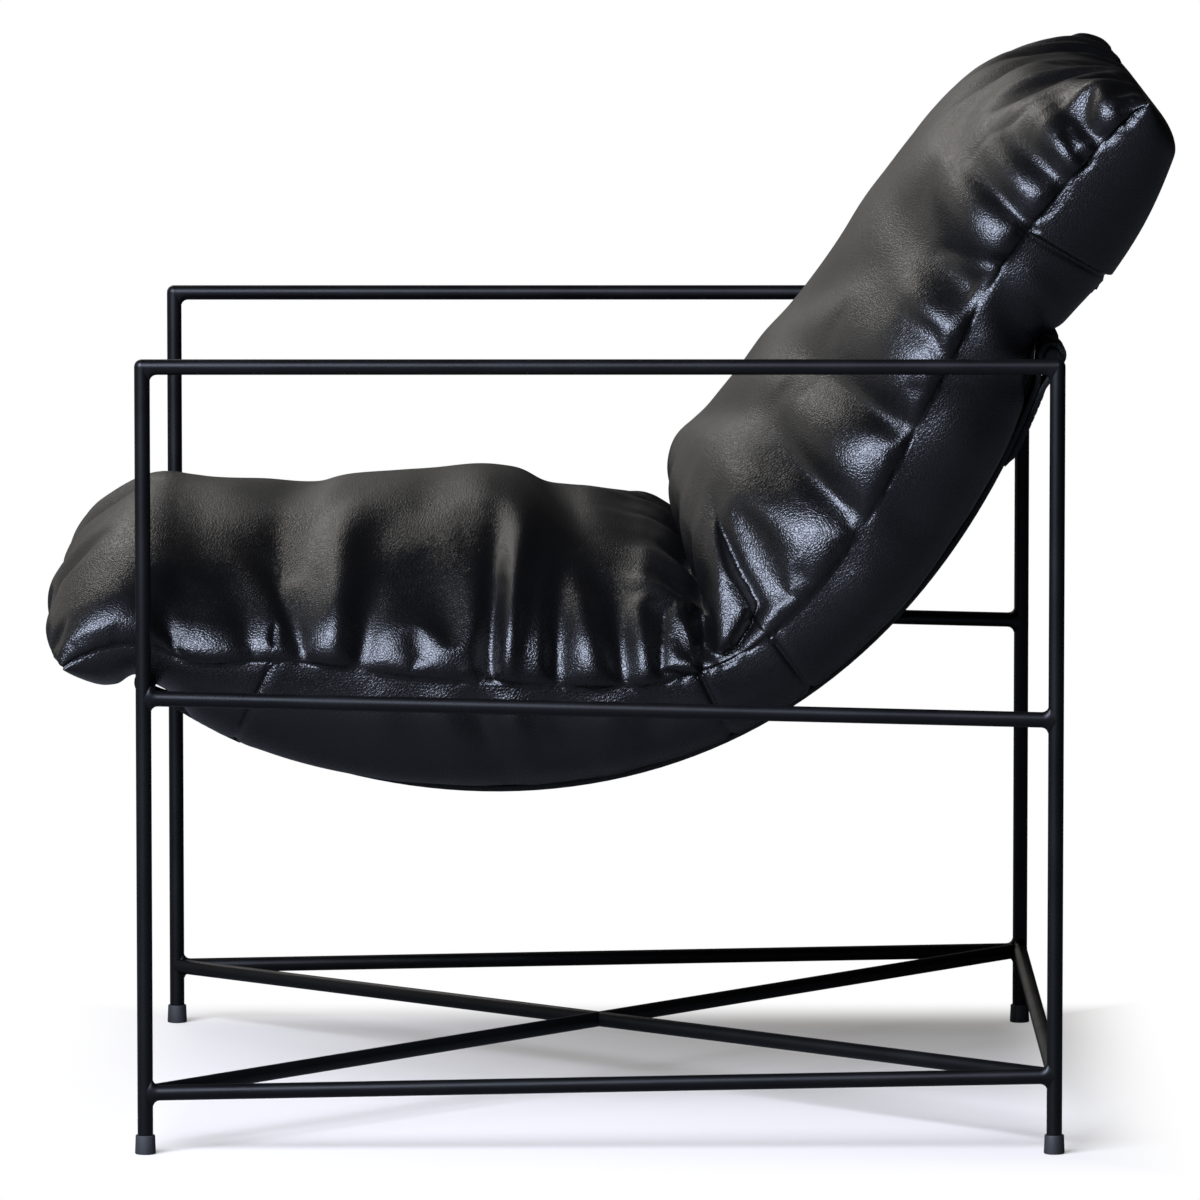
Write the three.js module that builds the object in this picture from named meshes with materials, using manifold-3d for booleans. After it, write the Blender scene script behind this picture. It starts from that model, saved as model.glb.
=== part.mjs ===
// Leather lounge chair: a welded rod frame, leather straps slung between its two bars,
// and one long loose cushion that lies on the straps.
// Millimetres. The sitter faces -X, their left is -Y, and +Z is up. The floor is Z = 0.

import * as THREE from 'three';
import { mergeVertices } from 'three/addons/utils/BufferGeometryUtils.js';
import Module from 'manifold-3d';

const wasm = await Module();
wasm.setup();

// Clearances and facets
const jointGap = 0.3;
const bedGap = 0.4;
const mergeDistance = 1e-4;
const rodSides = 16;

// Rod frame, measured between rod centres
const rodRadius = 6;
const legSpacing = 700;
const frameWidth = 680;
const frameShift = -8;
const armHeight = 608;
const seatRailFrontHeight = 353;
const seatRailRearHeight = 336;
const lowRailFrontHeight = 47;
const lowRailRearHeight = 60;
const weldFillet = 5;
const weldShares = [0, 0.2, 0.5, 1];
const domeSteps = 4;

// Foot caps
const capWall = 1.2;
const capSpread = 0.6;
const capHeight = 14.5;
const capFloor = 3;
const capEdge = 1;
const legEndChamfer = 0.8;

// Leather straps, each folded round the front bar and the rear bar and sewn back on itself
const strapCount = 4;
const strapEdgeGap = 95.5;
const strapWidth = 48;
const strapThickness = 5;
const strapPinch = 26;
const strapReturn = 58;
const strapSkive = 10;
const strapDivisions = 40;
const loopSteps = 10;
const sagFrontRun = 170;
const sagFrontDrop = 128;
const sagRearRun = 146;
const sagRearDrop = 416;

// Line that the cushion's underside follows past the two bars
const noseReach = 50;
const noseDroop = 6;
const noseLift = 20;
const headReach = 106;
const headRise = 173;
const headLift = 66;

// Cushion cover and fill
const cushionSideGap = 22;
const sideDrawIn = 12;
const panelThickness = 2;
const creaseStation = 23;
const creaseDepth = 54;
const creaseHalfWidth = 22;
const topEndRoll = 55;
const underEndRoll = 22;
const noseBulge = 25;
const headBulge = 2;
const topSmoothing = 110;
const nosePouch = 6;
const headPouch = 22;
const loopLiftReach = 46;
const loopLiftOuter = 40;
const loopLiftRamp = 0.6;
const loopEase = 2;
const noseDivisions = 6;
const headDivisions = 9;
const halfWidthDivisions = 6;
const topCrownPower = 2.5;
const underCrownPower = 12;
const drawInPower = 4;
const endInsetPower = 4;

// Seam height above the straps, and top height above the seam, along the cushion:
// "at" is a share of the strap's run, from 0 at the front bar to 1 at the rear bar,
// and the first and last rows are the cushion's two ends
const cushionProfile = [
  { at: 'nose', seam: 28, top: 104 },
  { at: 0.02, seam: 38, top: 104 },
  { at: 0.08, seam: 66, top: 105 },
  { at: 0.14, seam: 81, top: 113 },
  { at: 0.22, seam: 88, top: 122 },
  { at: 0.33, seam: 90, top: 134 },
  { at: 0.42, seam: 81, top: 122 },
  { at: 0.5, seam: 68, top: 112 },
  { at: 0.62, seam: 60, top: 128 },
  { at: 0.75, seam: 68, top: 134 },
  { at: 0.9, seam: 76, top: 110 },
  { at: 1.08, seam: 63, top: 95 },
  { at: 'head', seam: 45, top: 74 },
];

// Broad waves of the top panel, where the filling has settled: place along the cushion and across it,
// half length and half width, turn in degrees, and rise
const topWaves = [
  { along: 28, across: 0, halfLength: 18, halfWidth: 220, turn: 0, rise: -12 },
  { along: 85, across: -20, halfLength: 32, halfWidth: 170, turn: -4, rise: 8 },
  { along: 118, across: -215, halfLength: 26, halfWidth: 55, turn: -12, rise: -9 },
  { along: 124, across: 230, halfLength: 28, halfWidth: 55, turn: 12, rise: -11 },
  { along: 142, across: 10, halfLength: 28, halfWidth: 170, turn: 6, rise: -6 },
  { along: 206, across: 230, halfLength: 26, halfWidth: 50, turn: 14, rise: -9 },
  { along: 215, across: -235, halfLength: 30, halfWidth: 50, turn: -10, rise: -6 },
  { along: 240, across: 0, halfLength: 36, halfWidth: 160, turn: 5, rise: 6 },
  { along: 305, across: -20, halfLength: 38, halfWidth: 170, turn: -5, rise: 5 },
  { along: 341, across: -240, halfLength: 18, halfWidth: 60, turn: 0, rise: -11 },
  { along: 402, across: -30, halfLength: 28, halfWidth: 190, turn: -8, rise: -8 },
  { along: 480, across: 120, halfLength: 30, halfWidth: 90, turn: 20, rise: 5 },
  { along: 660, across: 90, halfLength: 34, halfWidth: 120, turn: 12, rise: 5 },
  { along: 735, across: -60, halfLength: 28, halfWidth: 140, turn: -14, rise: -8 },
  { along: 740, across: 235, halfLength: 30, halfWidth: 50, turn: 10, rise: -9 },
  { along: 798, across: -220, halfLength: 34, halfWidth: 60, turn: -8, rise: -14 },
  { along: 804, across: 225, halfLength: 30, halfWidth: 60, turn: 8, rise: -10 },
  { along: 820, across: 60, halfLength: 40, halfWidth: 130, turn: 10, rise: 8 },
  { along: 890, across: -90, halfLength: 28, halfWidth: 120, turn: -18, rise: -7 },
  { along: 870, across: 225, halfLength: 26, halfWidth: 55, turn: 12, rise: -9 },
  { along: 975, across: 40, halfLength: 28, halfWidth: 150, turn: 8, rise: -3 },
  { along: 1045, across: -120, halfLength: 24, halfWidth: 90, turn: 25, rise: -6 },
];

// Cross seams of the under side, as stations along the cushion, and its zip
const frontSeamStation = 4;
const seatSeamStation = 22;
const bendSeamStation = 25;
const headSeamStep = 4;
const zipLength = 420;
const zipWidth = 14;
const zipBelowSeam = 8;

const frontX = frameShift - legSpacing / 2;
const rearX = frameShift + legSpacing / 2;
const sideY = frameWidth / 2;
const legBottom = capFloor + jointGap;
const sides = [
  { name: 'left', sign: -1 },
  { name: 'right', sign: 1 },
];

// Materials
const blackSteel = new THREE.MeshStandardMaterial({ color: 0x17181a, roughness: 0.5, metalness: 0.4 });
const blackRubber = new THREE.MeshStandardMaterial({ color: 0x141414, roughness: 0.8, metalness: 0 });
const strapLeather = new THREE.MeshStandardMaterial({ color: 0x121212, roughness: 0.55, metalness: 0 });
const coverLeather = new THREE.MeshStandardMaterial({ color: 0x111113, roughness: 0.38, metalness: 0 });
const fillWadding = new THREE.MeshStandardMaterial({ color: 0xe8e4da, roughness: 0.95, metalness: 0 });
const zipTape = new THREE.MeshStandardMaterial({ color: 0x0d0d0e, roughness: 0.7, metalness: 0.1 });

const chair = new THREE.Group();

function addPiece(name, geometry, material) {
  const piece = new THREE.Mesh(geometry, material);
  piece.name = name;
  chair.add(piece);
  return piece;
}

// Solid joining and cutting
function toSolid(geometry) {
  const bare = geometry.clone();
  bare.deleteAttribute('normal');
  bare.deleteAttribute('uv');
  const merged = mergeVertices(bare, mergeDistance);
  return new wasm.Manifold(new wasm.Mesh({
    numProp: 3,
    vertProperties: new Float32Array(merged.attributes.position.array),
    triVerts: new Uint32Array(merged.index.array),
  }));
}

function toGeometry(solid) {
  const mesh = solid.getMesh();
  const geometry = new THREE.BufferGeometry();
  geometry.setAttribute('position', new THREE.BufferAttribute(mesh.vertProperties, 3));
  geometry.setIndex(new THREE.BufferAttribute(mesh.triVerts, 1));
  return geometry;
}

function cutAway(geometry, cutters) {
  let solid = toSolid(geometry);
  for (const cutter of cutters) {
    solid = solid.subtract(toSolid(cutter));
  }
  return toGeometry(solid);
}

// Skin through a row of rings with equal counts, closed by a flat fan at each end
function loft(rings) {
  const count = rings[0].length;
  const points = rings.flat();
  const faces = [];
  for (let r = 0; r < rings.length - 1; r += 1) {
    for (let k = 0; k < count; k += 1) {
      const a = r * count + k;
      const b = r * count + ((k + 1) % count);
      faces.push(a, b, b + count, a, b + count, a + count);
    }
  }
  const last = (rings.length - 1) * count;
  for (let k = 1; k < count - 1; k += 1) {
    faces.push(0, k + 1, k);
    faces.push(last, last + k, last + k + 1);
  }
  const geometry = new THREE.BufferGeometry().setFromPoints(points);
  geometry.setIndex(faces);
  return geometry;
}

// Round rod between two joint centres. Each end spreads into a weld fillet above and below,
// as far as the named weld allows; "grow" widens the rod all round to cut its neighbours.
function rodBetween(start, end, { above = weldFillet, below = weldFillet, grow = 0 } = {}) {
  const axis = end.clone().sub(start).normalize();
  const across = new THREE.Vector3().crossVectors(new THREE.Vector3(0, 0, 1), axis).normalize();
  const upward = new THREE.Vector3().crossVectors(axis, across);
  const length = start.distanceTo(end);
  const fillet = Math.max(above, below);
  const flareSteps = fillet > 0 ? weldShares : [0];
  const near = flareSteps.map((share) => ({ along: rodRadius + share * fillet, share }));
  const stations = [{ along: 0, share: 0 }, ...near];
  for (const { along, share } of near.toReversed()) {
    stations.push({ along: length - along, share });
  }
  stations.push({ along: length, share: 0 });
  const flare = (share) => 1 - Math.sqrt(1 - (1 - share) ** 2);
  const rings = stations.map(({ along, share }) => {
    const ring = [];
    for (let k = 0; k < rodSides; k += 1) {
      const angle = (2 * Math.PI * (k + 0.5)) / rodSides;
      const rise = Math.sin(angle);
      const weld = (rise > 0 ? above : below) * flare(fillet > 0 ? share : 1);
      ring.push(start.clone()
        .addScaledVector(axis, along)
        .addScaledVector(across, Math.cos(angle) * (rodRadius + grow))
        .addScaledVector(upward, rise * (rodRadius + grow + weld)));
    }
    return ring;
  });
  return loft(rings);
}

// Turned shape about a vertical axis: the profile runs from the axis below to the axis above
function turned(profile) {
  const points = profile.map(([radius, height]) => new THREE.Vector2(radius, height));
  const geometry = new THREE.LatheGeometry(points, rodSides);
  geometry.rotateX(Math.PI / 2);
  return geometry;
}

// Leg with a domed top that makes the outside of the corner; "grow" makes the cutter for its neighbours
function legShape(grow = 0) {
  const radius = rodRadius + grow;
  const profile = [
    [0, legBottom - grow],
    [radius - legEndChamfer, legBottom - grow],
    [radius, legBottom - grow + legEndChamfer],
  ];
  for (let k = 0; k <= domeSteps; k += 1) {
    const angle = (Math.PI / 2) * (k / domeSteps);
    profile.push([k === domeSteps ? 0 : radius * Math.cos(angle), armHeight + radius * Math.sin(angle)]);
  }
  return turned(profile);
}

function capShape() {
  const bore = rodRadius + jointGap;
  const rim = bore + capWall;
  const base = rim + capSpread;
  return turned([
    [0, 0],
    [base - capEdge, 0],
    [base, capEdge],
    [rim, capHeight - capEdge],
    [rim - capEdge / 2, capHeight],
    [bore, capHeight],
    [bore, capFloor],
    [0, capFloor],
  ]);
}

// Frame
const corner = (x, side, z) => new THREE.Vector3(x, side.sign * sideY, z);
const legPlaces = [
  { name: 'front', x: frontX },
  { name: 'rear', x: rearX },
];
const legCutters = [];
for (const place of legPlaces) {
  for (const side of sides) {
    const foot = corner(place.x, side, 0);
    addPiece(`leg_${place.name}_${side.name}`, legShape(), blackSteel).position.copy(foot);
    addPiece(`foot_cap_${place.name}_${side.name}`, capShape(), blackRubber).position.copy(foot);
    legCutters.push(legShape(jointGap).translate(foot.x, foot.y, foot.z));
  }
}

// Side rails of each frame: the arm is flush with the leg tops, so its welds lie below it
const sideRails = [
  { name: 'armrest', front: armHeight, rear: armHeight, welds: { above: 0 } },
  { name: 'seat_rail', front: seatRailFrontHeight, rear: seatRailRearHeight, welds: {} },
  { name: 'low_rail', front: lowRailFrontHeight, rear: lowRailRearHeight, welds: {} },
];
const railCutters = {};
for (const rail of sideRails) {
  railCutters[rail.name] = [];
  for (const side of sides) {
    const start = corner(frontX, side, rail.front);
    const end = corner(rearX, side, rail.rear);
    const geometry = cutAway(rodBetween(start, end, rail.welds), legCutters);
    addPiece(`${rail.name}_${side.name}`, geometry, blackSteel);
    railCutters[rail.name].push(rodBetween(start, end, { ...rail.welds, grow: jointGap }));
  }
}

// Cross bars between the two sides
const crossBars = [
  { name: 'front_strap_bar', x: frontX, z: seatRailFrontHeight, rail: 'seat_rail', welds: {} },
  { name: 'rear_strap_bar', x: rearX, z: armHeight, rail: 'armrest', welds: { above: 0 } },
  { name: 'rear_low_rail', x: rearX, z: lowRailRearHeight, rail: 'low_rail', welds: {} },
];
const lowCutters = [...railCutters.low_rail];
for (const bar of crossBars) {
  const start = corner(bar.x, sides[0], bar.z);
  const end = corner(bar.x, sides[1], bar.z);
  const geometry = cutAway(rodBetween(start, end, bar.welds), [...legCutters, ...railCutters[bar.rail]]);
  addPiece(bar.name, geometry, blackSteel);
  if (bar.rail === 'low_rail') {
    lowCutters.push(rodBetween(start, end, { ...bar.welds, grow: jointGap }));
  }
}

// Cross brace: one whole rod, and the other diagonal in two halves that butt against it
const bare = { above: 0, below: 0 };
const wholeStart = corner(frontX, sides[0], lowRailFrontHeight);
const wholeEnd = corner(rearX, sides[1], lowRailRearHeight);
const braceCutters = [...legCutters, ...lowCutters];
addPiece('brace_whole', cutAway(rodBetween(wholeStart, wholeEnd, bare), braceCutters), blackSteel);
const wholeCutter = rodBetween(wholeStart, wholeEnd, { ...bare, grow: jointGap });
const crossing = wholeStart.clone().lerp(wholeEnd, 0.5);
const halves = [
  { name: 'front', outer: corner(frontX, sides[1], lowRailFrontHeight) },
  { name: 'rear', outer: corner(rearX, sides[0], lowRailRearHeight) },
];
for (const half of halves) {
  const geometry = cutAway(rodBetween(crossing, half.outer, bare), [...braceCutters, wholeCutter]);
  addPiece(`brace_half_${half.name}`, geometry, blackSteel);
}

// Straps: the pull line runs from bar centre to bar centre, and the cushion's bed line
// carries it on past both bars
const frontBar = new THREE.Vector3(frontX, 0, seatRailFrontHeight);
const rearBar = new THREE.Vector3(rearX, 0, armHeight);
const pullLine = new THREE.CubicBezierCurve3(
  frontBar,
  frontBar.clone().add(new THREE.Vector3(sagFrontRun, 0, -sagFrontDrop)),
  rearBar.clone().add(new THREE.Vector3(-sagRearRun, 0, -sagRearDrop)),
  rearBar,
);
const frontPull = pullLine.getTangent(0);
const rearPull = pullLine.getTangent(1);
const noseLine = new THREE.QuadraticBezierCurve3(
  frontBar.clone().add(new THREE.Vector3(-noseReach, 0, -noseDroop)),
  frontBar.clone().addScaledVector(frontPull, -noseLift),
  frontBar,
);
const headLine = new THREE.QuadraticBezierCurve3(
  rearBar,
  rearBar.clone().addScaledVector(rearPull, headLift),
  rearBar.clone().add(new THREE.Vector3(headReach, 0, headRise)),
);
const bedLine = new THREE.CurvePath();
bedLine.add(noseLine);
bedLine.add(pullLine);
bedLine.add(headLine);

const noseLength = noseLine.getLength();
const strapLength = pullLine.getLength();
const headLength = headLine.getLength();
const bedLength = noseLength + strapLength + headLength;
const frontBarAt = noseLength;
const rearBarAt = noseLength + strapLength;

function bedFrame(at) {
  const share = THREE.MathUtils.clamp(at / bedLength, 0, 1);
  const tangent = bedLine.getTangent(share);
  return { point: bedLine.getPoint(share), normal: new THREE.Vector3(-tangent.z, 0, tangent.x) };
}

const strapStations = [];
for (let k = 0; k <= strapDivisions; k += 1) {
  strapStations.push(frontBarAt + (strapLength * k) / strapDivisions);
}

// End of a strap, in the plane of its side: out along the upper edge, round the bar, back below
function strapLoop(center, inward, up) {
  const place = (along, rise) => {
    const spot = center.clone().addScaledVector(inward, along).addScaledVector(up, rise);
    return new THREE.Vector2(spot.x, spot.z);
  };
  const hole = rodRadius + jointGap;
  const outer = hole + strapThickness;
  const pinch = Math.hypot(strapPinch, strapThickness);
  const outerAngle = Math.atan2(strapThickness, strapPinch) + Math.acos(outer / pinch);
  const holeTip = strapPinch - strapThickness;
  const holeAngle = Math.acos(hole / holeTip);
  const edge = [place(strapPinch, strapThickness)];
  const opening = [place(holeTip, 0)];
  for (let k = 0; k <= loopSteps; k += 1) {
    const turn = outerAngle + (2 * (Math.PI - outerAngle) * k) / loopSteps;
    edge.push(place(outer * Math.cos(turn), outer * Math.sin(turn)));
    const bore = holeAngle + (2 * (Math.PI - holeAngle) * k) / loopSteps;
    opening.push(place(hole * Math.cos(bore) / Math.cos(Math.PI / rodSides),
      hole * Math.sin(bore) / Math.cos(Math.PI / rodSides)));
  }
  edge.push(place(strapPinch, -strapThickness));
  return { edge, opening };
}

function strapEdge(from, to, rise) {
  const marks = strapStations.filter((at) => at > Math.min(from, to) && at < Math.max(from, to));
  const ordered = from < to ? marks : marks.toReversed();
  return [from, ...ordered, to].map((at) => {
    const { point, normal } = bedFrame(at);
    point.addScaledVector(normal, rise);
    return new THREE.Vector2(point.x, point.z);
  });
}

function strapShape() {
  const upFront = bedFrame(frontBarAt).normal;
  const upRear = bedFrame(rearBarAt).normal;
  const front = strapLoop(frontBar, frontPull, upFront);
  const rear = strapLoop(rearBar, rearPull.clone().negate(), upRear);
  const start = frontBarAt + strapPinch;
  const finish = rearBarAt - strapPinch;
  const margin = strapSkive;
  const outline = [
    ...strapEdge(start + margin, finish - margin, strapThickness),
    ...rear.edge,
    ...strapEdge(finish - margin, finish - strapReturn, -strapThickness),
    ...strapEdge(finish - strapReturn - strapSkive, start + strapReturn + strapSkive, 0),
    ...strapEdge(start + strapReturn, start + margin, -strapThickness),
    ...front.edge.toReversed(),
  ];
  const shape = new THREE.Shape(outline.toReversed());
  shape.holes.push(new THREE.Path(front.opening), new THREE.Path(rear.opening));
  const geometry = new THREE.ExtrudeGeometry(shape, { depth: strapWidth, bevelEnabled: false });
  geometry.translate(0, 0, -strapWidth / 2);
  geometry.rotateX(Math.PI / 2);
  return geometry;
}

const seatWidth = frameWidth - 2 * rodRadius;
const strapPitch = (seatWidth - 2 * strapEdgeGap - strapWidth) / (strapCount - 1);
for (let k = 0; k < strapCount; k += 1) {
  const strap = addPiece(`sling_strap_${k + 1}`, strapShape(), strapLeather);
  strap.position.y = (k - (strapCount - 1) / 2) * strapPitch;
}

// Cushion
const cushionHalfWidth = seatWidth / 2 - cushionSideGap;

function smoothProfile(rows, key) {
  const places = { nose: 0, head: bedLength };
  const marks = rows.map((row) => ({
    at: typeof row.at === 'string' ? places[row.at] : frontBarAt + row.at * strapLength,
    value: row[key],
  }));
  const slopes = marks.map((mark, i) => {
    const before = marks[Math.max(i - 1, 0)];
    const after = marks[Math.min(i + 1, marks.length - 1)];
    return (after.value - before.value) / (after.at - before.at);
  });
  return (at) => {
    let i = 0;
    while (i < marks.length - 2 && at > marks[i + 1].at) {
      i += 1;
    }
    const span = marks[i + 1].at - marks[i].at;
    const t = THREE.MathUtils.clamp((at - marks[i].at) / span, 0, 1);
    const rest = 1 - t;
    return marks[i].value * rest * rest * (1 + 2 * t) + marks[i + 1].value * t * t * (1 + 2 * rest)
      + span * t * rest * (slopes[i] * rest - slopes[i + 1] * t);
  };
}

const seamRise = smoothProfile(cushionProfile, 'seam');
const topRise = smoothProfile(cushionProfile, 'top');
const creaseAt = strapStations[creaseStation];

// The underside lies on the straps, lifts over the loops and pouches past both bars
function underRise(at) {
  const loopLift = rodRadius + jointGap + loopEase;
  const lift = [{ bar: frontBarAt, outward: -1 }, { bar: rearBarAt, outward: 1 }].map(({ bar, outward }) => {
    const reach = (at - bar) * outward > 0 ? loopLiftOuter : loopLiftReach;
    const near = THREE.MathUtils.clamp(1 - Math.abs(at - bar) / reach, 0, 1);
    return loopLift * THREE.MathUtils.smoothstep(near, 0, loopLiftRamp);
  });
  const before = THREE.MathUtils.clamp(at / (frontBarAt - loopLiftOuter / 2), 0, 1);
  const past = THREE.MathUtils.clamp((at - rearBarAt - loopLiftOuter / 2) / (headLength - loopLiftOuter / 2), 0, 1);
  const pouch = nosePouch * Math.sin(Math.PI * before) + headPouch * Math.sin(Math.PI * past);
  return strapThickness + bedGap + Math.max(...lift) - pouch;
}

function topHeight(at, y) {
  const fold = (at - creaseAt) / creaseHalfWidth;
  let height = topRise(at) - creaseDepth * Math.exp(-fold * fold);
  for (const wave of topWaves) {
    const turn = THREE.MathUtils.degToRad(wave.turn);
    const lengthwise = (at - wave.along) * Math.cos(turn) - (y - wave.across) * Math.sin(turn);
    const crosswise = (at - wave.along) * Math.sin(turn) + (y - wave.across) * Math.cos(turn);
    height += wave.rise * Math.exp(-((lengthwise / wave.halfLength) ** 2) - (crosswise / wave.halfWidth) ** 2);
  }
  return height;
}

const endRoll = (at, roll) => {
  const reach = THREE.MathUtils.clamp(Math.min(at, bedLength - at) / roll, 0, 1);
  return Math.sqrt(1 - (1 - reach) ** 2);
};
const sideRoll = (v, power) => Math.sqrt(Math.max(1 - Math.abs(v) ** power, 0));

function seamPoint(at) {
  const { point, normal } = bedFrame(at);
  return point.addScaledVector(normal, seamRise(at));
}

// The top rises square to the general run of the seam, and the underside drops square to the straps
function topNormal(at) {
  const run = seamPoint(Math.min(at + topSmoothing, bedLength)).sub(seamPoint(Math.max(at - topSmoothing, 0)));
  return new THREE.Vector3(-run.z, 0, run.x).normalize();
}

const topRun = (at) => {
  const normal = topNormal(at);
  return new THREE.Vector3(normal.z, 0, -normal.x);
};

// The top swells out past the seam at both ends, most at half its height
function endBulge(at) {
  const rise = endRoll(at, topEndRoll);
  const reach = at < bedLength / 2 ? -noseBulge : headBulge;
  return reach * 4 * rise * (1 - rise);
}

// Point of the cover: v runs from -1 to 1 across it, side is 1 on top and -1 below,
// and inset is the depth under the outer face
function coverPoint(at, v, side, inset) {
  const along = (2 * at) / bedLength - 1;
  const pulled = at - inset * Math.sign(along) * Math.abs(along) ** endInsetPower;
  const { point, normal } = bedFrame(pulled);
  const seam = seamRise(at);
  const width = cushionHalfWidth - sideDrawIn * (1 - Math.abs(along) ** drawInPower) - inset;
  const depth = side > 0 ? topHeight(at, v * width) : seam - underRise(at);
  const roll = side > 0
    ? endRoll(at, topEndRoll) * sideRoll(v, topCrownPower)
    : endRoll(at, underEndRoll) * sideRoll(v, underCrownPower);
  point.addScaledVector(normal, seam + side * (jointGap / 2));
  point.addScaledVector(side > 0 ? topNormal(at) : normal, side * (depth - inset) * roll);
  if (side > 0) {
    point.addScaledVector(topRun(at), endBulge(at) * sideRoll(v, topCrownPower));
  }
  point.y = v * width;
  return point;
}

const across = [];
for (let k = -halfWidthDivisions; k <= halfWidthDivisions; k += 1) {
  across.push(Math.sin((Math.PI / 2) * (k / halfWidthDivisions)));
}

// Stations along the cushion: crowded at the ends, and on the straps' own stations between the bars
const stations = [];
for (let k = 0; k < noseDivisions; k += 1) {
  stations.push(frontBarAt * (1 - Math.cos(Math.PI * (k / noseDivisions))) / 2);
}
stations.push(...strapStations);
for (let k = 1; k <= headDivisions; k += 1) {
  stations.push(rearBarAt + headLength * (1 - Math.cos(Math.PI * (k / headDivisions))) / 2);
}
const firstStrapMark = noseDivisions;
const lastStrapMark = noseDivisions + strapDivisions;
const span = (from, to) => stations.slice(from, to + 1);

// Two grids of points of one count, joined round their rims into a closed skin. Faces are split alike
// on both sides of the middle, so skins that lie on each other agree, and the split turns in the
// nose rows, so that it runs into all four corners.
function skinBetween(outer, inner, noseRows = 0) {
  const rows = outer.length;
  const columns = outer[0].length;
  const layerSize = rows * columns;
  const index = (row, column, layer) => layer * layerSize + row * columns + column;
  const faces = [];
  const quad = (a, b, c, d, splitAtFirst) => {
    faces.push(...(splitAtFirst ? [a, b, c, a, c, d] : [b, c, d, b, d, a]));
  };
  for (let c = 0; c < columns - 1; c += 1) {
    const rightHalf = c >= (columns - 1) / 2;
    for (let r = 0; r < rows - 1; r += 1) {
      const split = rightHalf === (r >= noseRows);
      quad(index(r, c, 0), index(r + 1, c, 0), index(r + 1, c + 1, 0), index(r, c + 1, 0), split);
      quad(index(r, c, 1), index(r, c + 1, 1), index(r + 1, c + 1, 1), index(r + 1, c, 1), split);
    }
    const r = rows - 1;
    quad(index(0, c, 0), index(0, c + 1, 0), index(0, c + 1, 1), index(0, c, 1), rightHalf);
    quad(index(r, c, 1), index(r, c + 1, 1), index(r, c + 1, 0), index(r, c, 0), !rightHalf);
  }
  const c = columns - 1;
  for (let r = 0; r < rows - 1; r += 1) {
    quad(index(r, 0, 1), index(r + 1, 0, 1), index(r + 1, 0, 0), index(r, 0, 0), false);
    quad(index(r, c, 0), index(r + 1, c, 0), index(r + 1, c, 1), index(r, c, 1), true);
  }
  const geometry = new THREE.BufferGeometry().setFromPoints([...outer.flat(), ...inner.flat()]);
  geometry.setIndex(faces);
  return mergeVertices(geometry, mergeDistance);
}

function coverGrid(marks, columns, side, inset) {
  const grid = marks.map((at) => columns.map((v) => coverPoint(at, v, side, inset)));
  return side > 0 ? grid : grid.map((row) => row.toReversed());
}

function coverPanel(marks, side) {
  return skinBetween(
    coverGrid(marks, across, side, 0),
    coverGrid(marks, across, side, panelThickness),
    marks[0] === 0 ? noseDivisions : 0,
  );
}

addPiece('cushion_top_panel', coverPanel(stations, 1), coverLeather);

// Under panels, parted at the cross seams
const headSeamMark = lastStrapMark + headSeamStep;
const underPanels = [
  { name: 'front', from: 0, to: firstStrapMark + frontSeamStation },
  { name: 'seat', from: firstStrapMark + frontSeamStation, to: firstStrapMark + seatSeamStation },
  { name: 'bend', from: firstStrapMark + seatSeamStation, to: firstStrapMark + bendSeamStation },
  { name: 'back', from: firstStrapMark + bendSeamStation, to: headSeamMark },
  { name: 'head', from: headSeamMark, to: stations.length - 1 },
];
const headSeamAt = stations[headSeamMark];
const zipSpan = (margin) => ({
  from: headSeamAt - zipBelowSeam - zipWidth - margin,
  to: headSeamAt - zipBelowSeam + margin,
  reach: zipLength / 2 + margin,
});

function zipBlock(margin, outerInset, innerInset) {
  const { from, to, reach } = zipSpan(margin);
  const steps = across.map((v) => (v * reach) / cushionHalfWidth);
  const marks = [from, to];
  return skinBetween(coverGrid(marks, steps, -1, outerInset), coverGrid(marks, steps, -1, innerInset));
}

for (const panel of underPanels) {
  const marks = span(panel.from, panel.to);
  if (panel.from > 0) {
    marks[0] += jointGap / 2;
  }
  if (panel.to < stations.length - 1) {
    marks[marks.length - 1] -= jointGap / 2;
  }
  let geometry = coverPanel(marks, -1);
  if (panel.name === 'back') {
    geometry = cutAway(geometry, [zipBlock(jointGap, -panelThickness, 2 * panelThickness)]);
  }
  addPiece(`cushion_under_${panel.name}`, geometry, coverLeather);
}
addPiece('cushion_zip', zipBlock(0, 0, panelThickness), zipTape);

const fillInset = panelThickness + jointGap;
addPiece('cushion_fill', skinBetween(
  coverGrid(stations, across, 1, fillInset),
  coverGrid(stations, across, -1, fillInset).map((row) => row.toReversed()),
  noseDivisions,
), fillWadding);

export default chair;
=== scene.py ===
import math

import bpy
import numpy as np
from mathutils import Matrix, Vector


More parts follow.
